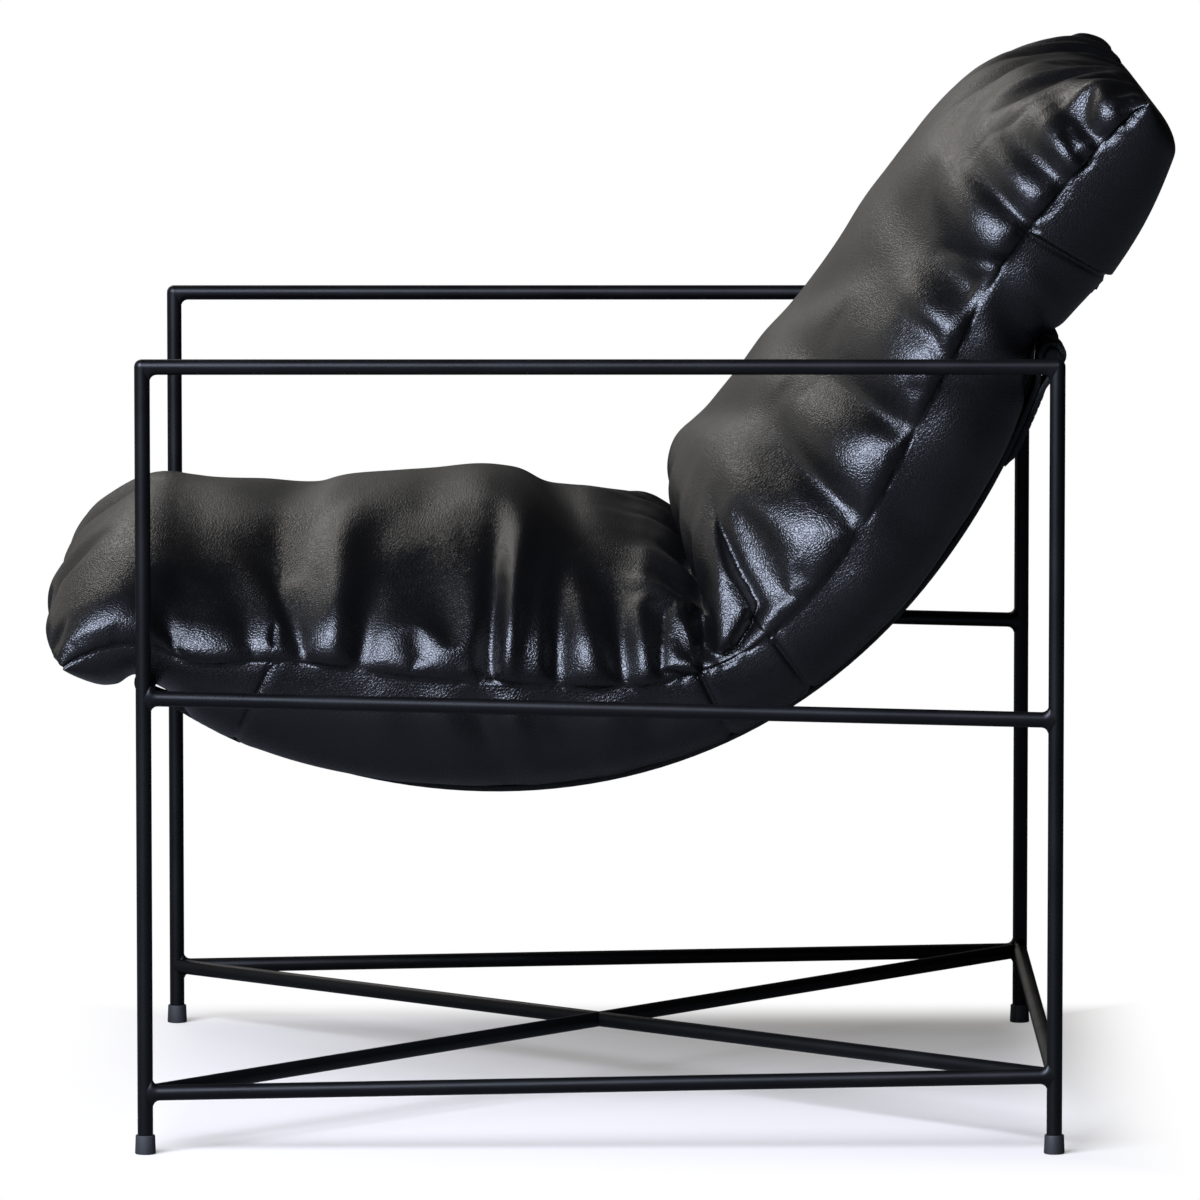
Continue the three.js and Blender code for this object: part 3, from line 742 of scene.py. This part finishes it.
def coverPoints(at, v, side):
    form = cushionForm
    along = np.abs(2 * at / bedLength - 1)
    halfWidth = sideY - rodRadius - form["sideGap"]
    width = halfWidth - form["drawIn"] * (1 - along ** form["drawPower"])
    spot = np.repeat(seamLine(at)[:, None, :], len(v), axis=1)
    roundness = sideRoll(v, form["crownPower"] if side > 0 else form["underPower"])
    y = width[:, None] * v[None, :]
    if side > 0:
        rise = endRoll(at, form["topRoll"])
        fold = at - form["creaseAt"]
        depth = topRise(at) - form["swell"] - form["creaseDepth"] * bell(fold, form["creaseHalf"])
        depth = depth - form["tuckDepth"] * np.exp(-np.abs(fold) / form["tuckHalf"])
        normal = topNormal(at)
        run = np.stack([normal[:, 1], -normal[:, 0]], axis=1)
        bulge = np.where(at < bedLength / 2, -form["noseBulge"], form["headBulge"]) * 4 * rise * (1 - rise)
        spot = spot + normal[:, None, :] * (depth * rise)[:, None, None] * roundness[None, :, None]
        spot = spot + run[:, None, :] * bulge[:, None, None] * roundness[None, :, None]
        y = y + np.sign(v) * form["belly"] * 4 * roundness * (1 - roundness) * rise[:, None]
    else:
        depth = (seamRise(at) - underRise(at)) * endRoll(at, form["underRoll"])
        depth = depth[:, None] + underSag(at, y)
        spot = spot - bedNormal(at)[:, None, :] * (depth * roundness[None, :])[..., None]
    return np.stack([spot[..., 0], y, spot[..., 1]], axis=-1)


def stationList():
    form = cushionForm
    turns = np.linspace(0, math.pi / 2, form["endSteps"] + 1)
    front = form["topRoll"] * (1 - np.cos(turns))
    count = round((bedLength - 2 * form["topRoll"]) / form["step"])
    body = np.linspace(form["topRoll"], bedLength - form["topRoll"], count)
    places = np.concatenate([front[:-1], body, (bedLength - front[:-1])[::-1]])
    rows = np.array(form["seamRows"])
    for seam in crossSeams + (headSeam,):
        places = places[np.abs(places - seam) > form["seamClear"]]
        places = np.concatenate([places, seam - rows, [seam], seam + rows])
    return np.sort(places)


# way over the panel to the nearer end of each row of points
def fromEdge(points):
    steps = np.linalg.norm(np.diff(points, axis=1), axis=2)
    way = np.concatenate([np.zeros((len(points), 1)), np.cumsum(steps, axis=1)], axis=1)
    return np.minimum(way, way[:, -1:] - way)


def gridOfPanel(at, v, side):
    pickNothing()
    bpy.ops.mesh.primitive_grid_add(x_subdivisions=len(at) - 1, y_subdivisions=len(v) - 1, size=2)
    panel = bpy.context.object
    flat = readPoints(panel)
    row = np.rint((flat[:, 0] + 1) / 2 * (len(at) - 1)).astype(int)
    column = np.rint((flat[:, 1] + 1) / 2 * (len(v) - 1)).astype(int)
    points = coverPoints(at, v, side)
    writePoints(panel, points[row, column])
    marks = {"along": at[row], "across": v[column], "facing": np.full(len(row), float(side)),
             "fromSide": fromEdge(points)[row, column],
             "fromEnd": fromEdge(points.swapaxes(0, 1))[column, row]}
    for name, values in marks.items():
        panel.data.attributes.new(name, "FLOAT", "POINT").data.foreach_set("value", values)
    if side < 0:
        editAll(panel, bpy.ops.mesh.flip_normals)
    return panel


def makePillow():
    at = stationList()
    turns = np.linspace(-math.pi / 2, math.pi / 2, cushionForm["columns"] + 1)
    v = np.sin(turns)
    pillow = joinAll([gridOfPanel(at, v, 1), gridOfPanel(at, v, -1)])
    editAll(pillow, bpy.ops.mesh.remove_doubles, threshold=cushionForm["sewnWithin"])
    return pillow


def marksOf(obj):
    marks = {}
    for name in ("along", "across", "fromSide", "fromEnd", "facing"):
        values = np.empty(len(obj.data.vertices))
        obj.data.attributes[name].data.foreach_get("value", values)
        marks[name] = values
    marks["edge"] = np.minimum(marks["fromSide"], marks["fromEnd"])
    marks["top"] = np.clip(marks["facing"], 0, 1)
    return marks


clothRun = {
    "frames": 20,
    "cap": 0.024,
    "heldWithin": 0.004,
    "looseBeyond": 0.020,
    "fabric": {"quality": 5, "mass": 0.35, "tension_stiffness": 18, "compression_stiffness": 18,
               "shear_stiffness": 6, "bending_stiffness": 30, "tension_damping": 8,
               "compression_damping": 8, "use_pressure": True, "uniform_pressure_force": 4.0,
               "vertex_group_mass": "held", "shrink_min": -0.034},
}


def relaxCover(pillow):
    marks = marksOf(pillow)
    start = readPoints(pillow)
    loose = easeStep(marks["edge"], clothRun["heldWithin"], clothRun["looseBeyond"]) * (marks["facing"] > 0)
    held = pillow.vertex_groups.new(name="held")
    for k, weight in enumerate(1 - loose):
        if weight > 0:
            held.add([k], float(weight), "REPLACE")
    cloth = pillow.modifiers.new("Cloth", "CLOTH")
    for key, value in clothRun["fabric"].items():
        setattr(cloth.settings, key, value)
    cloth.settings.effector_weights.gravity = 0
    cloth.point_cache.frame_end = clothRun["frames"]
    for k in range(1, clothRun["frames"] + 1):
        bpy.context.scene.frame_set(k)
    pick(pillow)
    bpy.ops.object.modifier_apply(modifier=cloth.name)
    bpy.context.scene.frame_set(1)
    move = readPoints(pillow) - start
    far = np.linalg.norm(move, axis=1, keepdims=True)
    cap = clothRun["cap"]
    print("cloth moved", round(float(far.mean()) * 1000, 1), "mm, most", round(float(far.max()) * 1000, 1))
    writePoints(pillow, start + move * np.tanh(far / cap) * cap / np.maximum(far, 1e-9))


# pleats that rise from the side seam: place along the cushion, lean, reach, half width, height (mm)
pleats = [
    (23, 0.2, 60, 16, 5), (60, -0.3, 60, 8, -4), (93, -0.3, 80, 20, 5), (118, -0.2, 55, 8, -4),
    (160, -0.35, 80, 10, -9), (185, 0.05, 100, 18, 11), (210, 0.1, 60, 11, -6),
    (250, -0.2, 60, 22, 4), (290, -0.3, 50, 20, 3), (331, 0.0, 110, 10, -12),
    (350, 0.05, 120, 14, 12), (378, 0.1, 90, 14, 6), (400, 0.0, 80, 10, -7), (434, -0.1, 90, 20, 11),
    (462, 0.0, 65, 9, -6), (482, 0.1, 75, 12, 7),
    (690, 0.0, 150, 30, 6), (735, 0.2, 110, 14, -8), (785, 0.0, 150, 32, 8),
    (832, 0.0, 100, 13, -9), (882, 0.0, 140, 32, 8), (924, 0.1, 110, 12, 6), (953, 0.0, 90, 16, -15),
    (989, 0.05, 130, 20, 11), (1009, 0.1, 60, 8, -6), (1027, 0.05, 90, 15, 7), (1048, 0.0, 60, 8, -7),
    (1068, 0.0, 80, 14, 7), (1087, 0.0, 60, 9, -9), (1108, 0.0, 70, 12, 7),
]
pleatLook = {"seed": 7, "farShift": 14, "farHeight": (0.7, 1.2), "peak": 0.35}


def riseAndFade(way, peak):
    t = np.clip(way / peak, 0, None)
    return t * np.exp(1 - t)


def pleatHeights(marks):
    lift = np.zeros(len(marks["along"]))
    draw = np.random.default_rng(pleatLook["seed"])
    shift = pleatLook["farShift"]
    for flank in (-1, 1):
        onFlank = marks["top"] * np.clip(marks["across"] * flank * 4, 0, 1)
        for place, lean, reach, half, height in pleats:
            if flank > 0:  # the far side has folds of its own
                place = place + draw.uniform(-shift, shift)
                height = height * draw.uniform(*pleatLook["farHeight"])
            line = marks["along"] * 1000 - place - lean * marks["fromSide"] * 1000
            swell = riseAndFade(marks["fromSide"] * 1000 / reach, pleatLook["peak"])
            lift += onFlank * height / 1000 * bell(line, half) * swell
    return lift


# folds where the seat's side meets the back's side: outlines in the side view, X and Z in mm
bendFolds = [
    {"outline": [(78, 499), (86, 472), (98, 445), (109, 427), (113, 419), (108, 404), (96, 388), (84, 381),
                 (75, 388), (72, 410), (69, 441), (63, 468), (58, 487)], "rise": 0.013, "rim": 0.018,
     "ditch": 0.009, "ditchHalf": 0.007},
    {"outline": [(40, 370), (41, 395), (44, 414), (51, 420), (58, 417), (65, 402), (70, 383), (71, 364)],
     "rise": 0.006, "rim": 0.012, "ditch": 0.003, "ditchHalf": 0.005},
]
sideTucks = [
    {"line": [(56, 494), (64, 456), (71, 418), (72, 384)], "depth": 0.011, "half": 0.008},
    {"line": [(-87, 356), (-90, 377), (-87, 404), (-83, 431)], "depth": 0.006, "half": 0.005},
    {"line": [(254, 690), (266, 691), (282, 688), (300, 685)], "depth": 0.006, "half": 0.005},
    {"line": [(350, 784), (356, 772), (368, 761)], "depth": 0.005, "half": 0.005},
]
bendSide = (0.6, 0.9)  # share of the half width where the folds set in


def offLine(spots, line):
    line = np.array(line) / 1000
    best = np.full(len(spots), np.inf)
    for a, b in zip(line[:-1], line[1:]):
        run = b - a
        t = np.clip(((spots - a) @ run) / (run @ run), 0, 1)
        best = np.minimum(best, np.linalg.norm(spots - a - t[:, None] * run, axis=1))
    return best


def withinLine(spots, line):
    line = np.array(line) / 1000
    inside = np.zeros(len(spots), dtype=bool)
    for a, b in zip(line, np.roll(line, -1, axis=0)):
        crosses = (a[1] > spots[:, 1]) != (b[1] > spots[:, 1])
        cut = a[0] + (spots[:, 1] - a[1]) * (b[0] - a[0]) / (b[1] - a[1] if b[1] != a[1] else 1e-9)
        inside ^= crosses & (spots[:, 0] < cut)
    return inside


def bendHeights(points, marks):
    spots = points[:, [0, 2]]
    onSide = marks["top"] * easeStep(np.abs(marks["across"]), *bendSide)
    lift = np.zeros(len(spots))
    for tuck in sideTucks:
        lift -= tuck["depth"] * bell(offLine(spots, tuck["line"]), tuck["half"])
    for fold in bendFolds:
        off = offLine(spots, fold["outline"] + fold["outline"][:1])
        inside = withinLine(spots, fold["outline"])
        t = np.clip(off / fold["rim"], 0, 1)
        hump = fold["rise"] * np.sqrt(1 - (1 - t) ** 2)
        ditch = -fold["ditch"] * bell(off, fold["ditchHalf"])
        lift += np.where(inside, hump + ditch * (1 - t), ditch)
    return lift * onSide


endGathers = {
    "nose": {"pitch": 52, "half": 13, "reach": 46, "height": 4.5},
    "head": {"pitch": 44, "half": 10, "reach": 60, "height": 5.5},
}
fineGathers = {
    "nose": {"pitch": 31, "half": 6, "reach": 60, "height": 1.2},
    "head": {"pitch": 21, "half": 5, "reach": 110, "height": 1.5},
}
gatherSpan = {"width": 620, "seed": 21, "peak": 0.35}


def gatherHeights(points, marks, gathers):
    lift = np.zeros(len(points))
    draw = np.random.default_rng(gatherSpan["seed"])
    width = gatherSpan["width"]
    for end, look in gathers.items():
        onEnd = marks["top"] * ((marks["along"] < bedLength / 2) == (end == "nose"))
        count = int(width / look["pitch"])
        for k in range(count + 1):
            place = -width / 2 + width * (k + draw.uniform(-0.25, 0.25)) / count
            lean = draw.uniform(-0.3, 0.3)
            reach = look["reach"] * draw.uniform(0.7, 1.3)
            line = points[:, 1] * 1000 - place - lean * marks["fromEnd"] * 1000
            swell = riseAndFade(marks["fromEnd"] * 1000 / reach, gatherSpan["peak"])
            height = look["height"] * draw.uniform(0.5, 1.2) * (1 if k % 2 else -0.7)
            lift += onEnd * height / 1000 * bell(line, look["half"]) * swell
    return lift


# wrinkles that run out of the bend on to the seat and up the back: across, lean, reach, half width, height
bendWrinkles = [
    (-255, 0.5, 70, 11, 5), (-225, 0.3, 60, 9, -4), (-190, 0.3, 80, 12, 5), (-140, 0.1, 60, 12, -4),
    (-80, 0.2, 75, 14, 4), (-20, -0.1, 60, 12, -4), (50, 0.1, 80, 14, 4), (110, -0.2, 60, 12, -4),
    (170, -0.2, 80, 12, 5), (215, -0.4, 60, 10, -4), (250, -0.5, 70, 11, 5),
]
wrinkleLook = {"edge": 0.05, "stagger": 9, "seatShare": 1.0, "backShare": 0.7, "peak": 0.35}


def wrinkleHeights(points, marks):
    lift = np.zeros(len(points))
    look = wrinkleLook
    off = (marks["along"] - cushionForm["creaseAt"]) * 1000
    onTop = marks["top"] * easeStep(marks["fromSide"], 0, look["edge"])
    for way, share in ((-1, look["seatShare"]), (1, look["backShare"])):
        ahead = np.clip(off * way, 0, None)
        for place, lean, reach, half, height in bendWrinkles:
            line = points[:, 1] * 1000 - place - way * look["stagger"] - lean * ahead
            swell = riseAndFade(ahead / reach, look["peak"])
            lift += onTop * share * height / 1000 * bell(line, half) * swell
    return lift


# broad dents of the top panel: place along, across, half length, half width, turn, depth (mm and degrees)
dents = [
    (28, 0, 18, 220, 0, -12), (85, -20, 32, 170, -4, 7), (142, 10, 28, 170, 6, -6), (240, 0, 36, 160, 5, 4),
    (305, -20, 38, 170, -5, 5), (402, -30, 28, 190, -8, -10), (480, 120, 30, 90, 20, 5),
    (660, 90, 34, 120, 12, 5), (735, -60, 28, 140, -14, -8), (820, 60, 40, 130, 10, 6),
    (890, -90, 28, 120, -18, -7), (975, 40, 28, 150, 8, -4), (1045, -120, 24, 90, 25, -6),
]
dentEdge = 0.06


def dentHeights(points, marks):
    lift = np.zeros(len(points))
    for place, side, halfLong, halfWide, turn, depth in dents:
        along = marks["along"] * 1000 - place
        across = points[:, 1] * 1000 - side
        c, s = math.cos(math.radians(turn)), math.sin(math.radians(turn))
        lift += depth / 1000 * np.exp(-((along * c - across * s) / halfLong) ** 2
                                      - ((along * s + across * c) / halfWide) ** 2)
    return lift * marks["top"] * easeStep(marks["edge"], 0, dentEdge)


# the large pleats and dents go in before the cloth run, which softens them
def pleatPillow(pillow):
    marks = marksOf(pillow)
    points = readPoints(pillow)
    lift = pleatHeights(marks) + dentHeights(points, marks)
    lift += gatherHeights(points, marks, endGathers) + wrinkleHeights(points, marks)
    writePoints(pillow, points + readPoints(pillow, "normal") * lift[:, None])


# soft puckers of the under panels below the side seam: place along, lean, half width, height (mm)
underPuckers = [
    (232, 0.3, 18, 3), (285, 0.4, 16, 4), (318, 0.4, 13, -4), (352, 0.2, 14, 5), (392, 0.3, 15, -3),
    (446, -0.2, 18, 4), (486, -0.3, 13, -3), (690, 0.2, 22, 3), (760, 0.1, 20, -3), (838, 0.1, 24, 3),
    (930, -0.3, 16, 4), (955, -0.3, 12, -4), (978, -0.2, 12, 3),
]
puckerAt = 30  # mm below the seam


def puckerHeights(marks):
    lift = np.zeros(len(marks["along"]))
    down = marks["fromSide"] * 1000
    depth = riseAndFade(down, puckerAt) ** 2
    for place, lean, half, height in underPuckers:
        lift += height / 1000 * bell(marks["along"] * 1000 - place - lean * down, half)
    return lift * depth * (marks["facing"] < 0)


# the groove has only a share of its depth on the sewn edge, and fine gathers keep off the sides
seamLook = {"depth": 0.0024, "half": 0.0028, "edgeShare": 0.1, "edgeWidth": 0.0005,
            "puff": 0.0008, "puffAt": 0.011, "puffHalf": 0.007, "crossPuff": 0.6,
            "lap": 0.0028, "lapHalf": 0.0016, "lapFade": 0.03, "gatherFrom": (0.03, 0.12),
            "lapGroove": 0.7, "lapGrooveAt": -0.0025, "lapGrooveHalf": 0.0022}


def shapePillow(pillow):
    look = seamLook
    marks = marksOf(pillow)
    points, normals = readPoints(pillow), readPoints(pillow, "normal")
    edge = marks["edge"]
    under = marks["facing"] < 0
    onSeam = edge < look["edgeWidth"]
    above = (marks["facing"] > 0.99) & ~onSeam

    def groove(off):
        return -look["depth"] * bell(off, look["half"])

    def puff(off):
        return look["puff"] * bell(off - look["puffAt"], look["puffHalf"])

    lift = np.where(above, 1, look["edgeShare"] * onSeam) * groove(edge) + above * puff(edge)
    for seam in crossSeams:
        off = np.abs(marks["along"] - seam)
        lift += under * (groove(off) + look["crossPuff"] * puff(off))
    past = marks["along"] - headSeam  # the head panel laps over the back panel
    fade = np.exp(-np.clip(past, 0, None) / look["lapFade"])
    ditch = bell(past - look["lapGrooveAt"], look["lapGrooveHalf"])
    lift += under * look["lap"] * easeStep(past, -look["lapHalf"], look["lapHalf"]) * fade
    lift -= under * look["depth"] * look["lapGroove"] * ditch
    lift += gatherHeights(points, marks, fineGathers) * easeStep(marks["fromSide"], *look["gatherFrom"])
    lift += puckerHeights(marks)
    points = points + normals * lift[:, None]
    points[:, 1] += np.sign(marks["across"]) * bendHeights(points, marks)
    writePoints(pillow, points)
    ends = np.empty(len(pillow.data.edges) * 2, dtype=np.int32)
    pillow.data.edges.foreach_get("vertices", ends)
    sewn = onSeam[ends.reshape(-1, 2)].all(axis=1)
    pick(pillow)
    bpy.ops.object.shade_smooth()
    pillow.data.edges.foreach_set("use_edge_sharp", sewn)  # the sewn edge keeps a crisp line
    pillow.data.update()


coverNodes = ["top_panel", "under_front", "under_seat", "under_bend", "under_back", "under_head", "fill"]
cushionNodes = ["cushion_" + name for name in coverNodes]
pillow = makePillow()
pleatPillow(pillow)
relaxCover(pillow)
modify(pillow, "SUBSURF", levels=1, render_levels=1)
shapePillow(pillow)
settle(pillow, "cushion", cushionLeather, "cushion", cushionNodes)
print("cushion made,", len(pillow.data.polygons), "faces")


# zip below the head seam, behind: tape, teeth and slider

zipLook = {
    "from": 0.9845,
    "to": 0.9985,
    "half": 0.210,
    "tapeThickness": 0.0012,
    "tapeSteps": 90,
    "toothPitch": 0.003,
    "tooth": (0.0042, 0.0016, 0.0016),
    "toothShift": 0.0008,
    "toothLift": 0.00192,
    "toothRound": 0.0003,
    "slider": (0.0085, 0.0130, 0.0030),
    "sliderAt": 0.196,
    "sliderLift": 0.0026,
    "sliderRound": 0.0005,
    "pull": (0.0050, 0.0260, 0.0010),
    "pullAt": 0.180,
    "pullLift": 0.0042,
}


def zipSpot(at, y, lift):
    spot = bedPoint(at) + bedNormal(at) * (underRise(np.array([at]))[0] - lift)
    slope = follow(at, bedSlope)
    facing = Matrix(((slope[0], 0, slope[1]), (0, 1, 0), (slope[1], 0, -slope[0]))).to_4x4()
    return Matrix.Translation((spot[0], y, spot[1])) @ facing


def roundedBlock(size, edge):
    pickNothing()
    bpy.ops.mesh.primitive_cube_add(size=1)
    block = bpy.context.object
    bpy.ops.transform.resize(value=size)
    bpy.ops.object.transform_apply()
    modify(block, "BEVEL", width=edge, segments=2)
    return block


def makeZip():
    look = zipLook
    middleAt = (look["from"] + look["to"]) / 2
    pickNothing()
    bpy.ops.mesh.primitive_grid_add(x_subdivisions=6, y_subdivisions=look["tapeSteps"], size=2)
    tape = bpy.context.object
    flat = readPoints(tape)
    at = middleAt + flat[:, 0] * (look["to"] - look["from"]) / 2
    spots = bedPoint(at) + bedNormal(at) * (underRise(at) - look["tapeThickness"])[:, None]
    writePoints(tape, np.stack([spots[:, 0], flat[:, 1] * look["half"], spots[:, 1]], axis=1))
    modify(tape, "SOLIDIFY", thickness=look["tapeThickness"], offset=0)
    tooth = roundedBlock(look["tooth"], look["toothRound"])
    parts = [tape]
    count = int(2 * look["half"] / look["toothPitch"]) - 2
    for k in range(count):
        y = (k - (count - 1) / 2) * look["toothPitch"]
        twin = copyOf(tooth, (look["toothShift"] if k % 2 else -look["toothShift"], 0, 0))
        twin.data.transform(zipSpot(middleAt, y, look["toothLift"]))
        parts.append(twin)
    bpy.data.objects.remove(tooth)
    for name in ("slider", "pull"):
        block = roundedBlock(look[name], look["sliderRound"])
        block.data.transform(zipSpot(middleAt, look[name + "At"], look[name + "Lift"]))
        parts.append(block)
    made = joinAll(parts)
    editAll(made, bpy.ops.mesh.normals_make_consistent, inside=False)
    smooth(made, 40)
    return made


settle(makeZip(), "coverZip", tapeFinish, "cushion", ["cushion_zip"])
print("zip made")


# studio

studio = {
    "floorSize": 120,
    "floorDrop": 0.0003,
    "floorRough": 0.9,
    # near the feet the floor's colour for camera rays is darker: a painted shadow under the chair, over the
    # real shadows from the lamps; its warm tint also offsets the bluish front softbox
    "paintedShadowEdge": (0.31, 0.46),  # the floor goes over to white beyond the feet
    "paintedShadowColour": (0.58, 0.53, 0.47, 1),
    "floorBounce": (0.15, 0.15, 0.155, 1),
    "cameraPlace": (-0.02265, -8.80323, 1.37756),
    "cameraDown": 6.396,
    "cameraTurn": 0.0999,
    "lens": 333.52,
    "sensor": 36,
    "clipEnd": 200,
    "worldTint": (1.0, 0.96, 0.90, 1),
    "worldBack": 0.8,
    "worldFront": 0.02,
    "worldStrength": 0.64,
    "worldTurn": 50,  # the pale side lies behind and to the left
    "worldReach": (0.5, 1.0),
    "floorGlow": 0.22,
}


def makeFloor():
    pickNothing()
    bpy.ops.mesh.primitive_plane_add(size=studio["floorSize"], location=(0, 0, -studio["floorDrop"]))
    floor = bpy.context.object
    floor.name = "studioFloor"
    material, tree, shader = newFinish("paleFloor")
    shader.inputs["Roughness"].default_value = studio["floorRough"]
    cameraRay = addNode(tree, "LightPath").outputs["Is Camera Ray"]
    # camera rays see the darker warm colour near the feet, a painted shadow under the chair, and white
    # beyond; other rays see the dim bounce colour
    colour = addNode(tree, "Mix", {"Factor": cameraRay, "A": studio["floorBounce"],
                                   "B": studio["paintedShadowColour"]}, data_type="RGBA")
    tree.links.new(colour.outputs["Result"], shader.inputs["Base Color"])
    shader.inputs["Specular IOR Level"].default_value = 0.0
    place = addNode(tree, "TexCoord").outputs["Object"]
    size = addNode(tree, "VectorMath", {0: place}, operation="ABSOLUTE")
    parts = addNode(tree, "SeparateXYZ", {"Vector": size.outputs["Vector"]})
    away = addNode(tree, "Math", {0: parts.outputs["X"], 1: parts.outputs["Y"]}, operation="MAXIMUM")
    near, far = studio["paintedShadowEdge"]
    pale = addNode(tree, "MapRange", {"Value": away.outputs["Value"], "From Min": near,
                                      "From Max": far}, interpolation_type="SMOOTHSTEP")
    seen = addNode(tree, "Math", {0: pale.outputs["Result"], 1: cameraRay}, operation="MULTIPLY")
    glow = addNode(tree, "Math", {0: cameraRay, 1: studio["floorGlow"]}, operation="MULTIPLY")
    shader.inputs["Emission Color"].default_value = (1, 1, 1, 1)
    tree.links.new(glow.outputs["Value"], shader.inputs["Emission Strength"])
    white = addNode(tree, "Emission", {"Color": (1, 1, 1, 1), "Strength": 1.0})
    mix = addNode(tree, "MixShader", {0: seen.outputs["Value"], 1: shader.outputs["BSDF"],
                                      2: white.outputs["Emission"]})
    tree.links.new(mix.outputs["Shader"], tree.nodes["Material Output"].inputs["Surface"])
    floor.data.materials.append(material)


def makeWorld():
    world = bpy.data.worlds.new("studioWorld")
    bpy.context.scene.world = world
    world.use_nodes = True
    tree = world.node_tree
    background = tree.nodes["Background"]
    direction = addNode(tree, "TexCoord").outputs["Generated"]
    turn = math.radians(studio["worldTurn"])
    facing = addNode(tree, "VectorMath", {0: direction, 1: (-math.sin(turn), math.cos(turn), 0)},
                     operation="DOT_PRODUCT")
    shade = ramp(tree, facing.outputs["Value"], *studio["worldReach"], studio["worldFront"],
                 studio["worldBack"])
    cameraRay = addNode(tree, "LightPath").outputs["Is Camera Ray"]
    tone = addNode(tree, "Mix", {"Factor": cameraRay, "A": shade, "B": 1.0})
    strength = addNode(tree, "Mix", {"Factor": cameraRay, "A": studio["worldStrength"], "B": 1.0})
    tint = addNode(tree, "Mix", {"Factor": cameraRay, "A": studio["worldTint"], "B": (1, 1, 1, 1)},
                   data_type="RGBA")
    shaded = addNode(tree, "VectorMath", {0: tint.outputs["Result"], "Scale": tone.outputs["Result"]},
                     operation="SCALE")
    tree.links.new(shaded.outputs["Vector"], background.inputs["Color"])
    tree.links.new(strength.outputs["Result"], background.inputs["Strength"])


softboxes = [
    {"name": "frontSoftbox", "place": (-1.9, -2.9, 2.6), "aim": (0, 0, 0.55), "size": (3.0, 2.0),
     "power": 520, "colour": (0.70, 0.78, 1.0)},
    {"name": "topSoftbox", "place": (-1.05, 2.4, 2.2), "aim": (0, 0, 0.5), "size": (1.2, 0.9),
     "power": 9, "colour": (1.0, 0.96, 0.90)},
]


def makeLights():
    for box in softboxes:
        bpy.ops.object.light_add(type="AREA", location=box["place"])
        lamp = bpy.context.object
        lamp.name = box["name"]
        lamp.data.shape = "RECTANGLE"
        lamp.data.size, lamp.data.size_y = box["size"]
        lamp.data.energy = box["power"]
        lamp.data.color = box["colour"]
        aim = Vector(box["aim"]) - Vector(box["place"])
        lamp.rotation_euler = aim.to_track_quat("-Z", "Y").to_euler()


def makeCamera():
    bpy.ops.object.camera_add(location=studio["cameraPlace"],
                              rotation=(math.radians(90 - studio["cameraDown"]), 0,
                                        math.radians(-studio["cameraTurn"])))
    camera = bpy.context.object
    camera.name = "photoCamera"
    camera.data.lens = studio["lens"]
    camera.data.sensor_width = studio["sensor"]
    camera.data.clip_end = studio["clipEnd"]
    bpy.context.scene.camera = camera


makeFloor()
makeWorld()
makeLights()
makeCamera()
bpy.context.scene.view_settings.view_transform = "Standard"
print("studio ready")
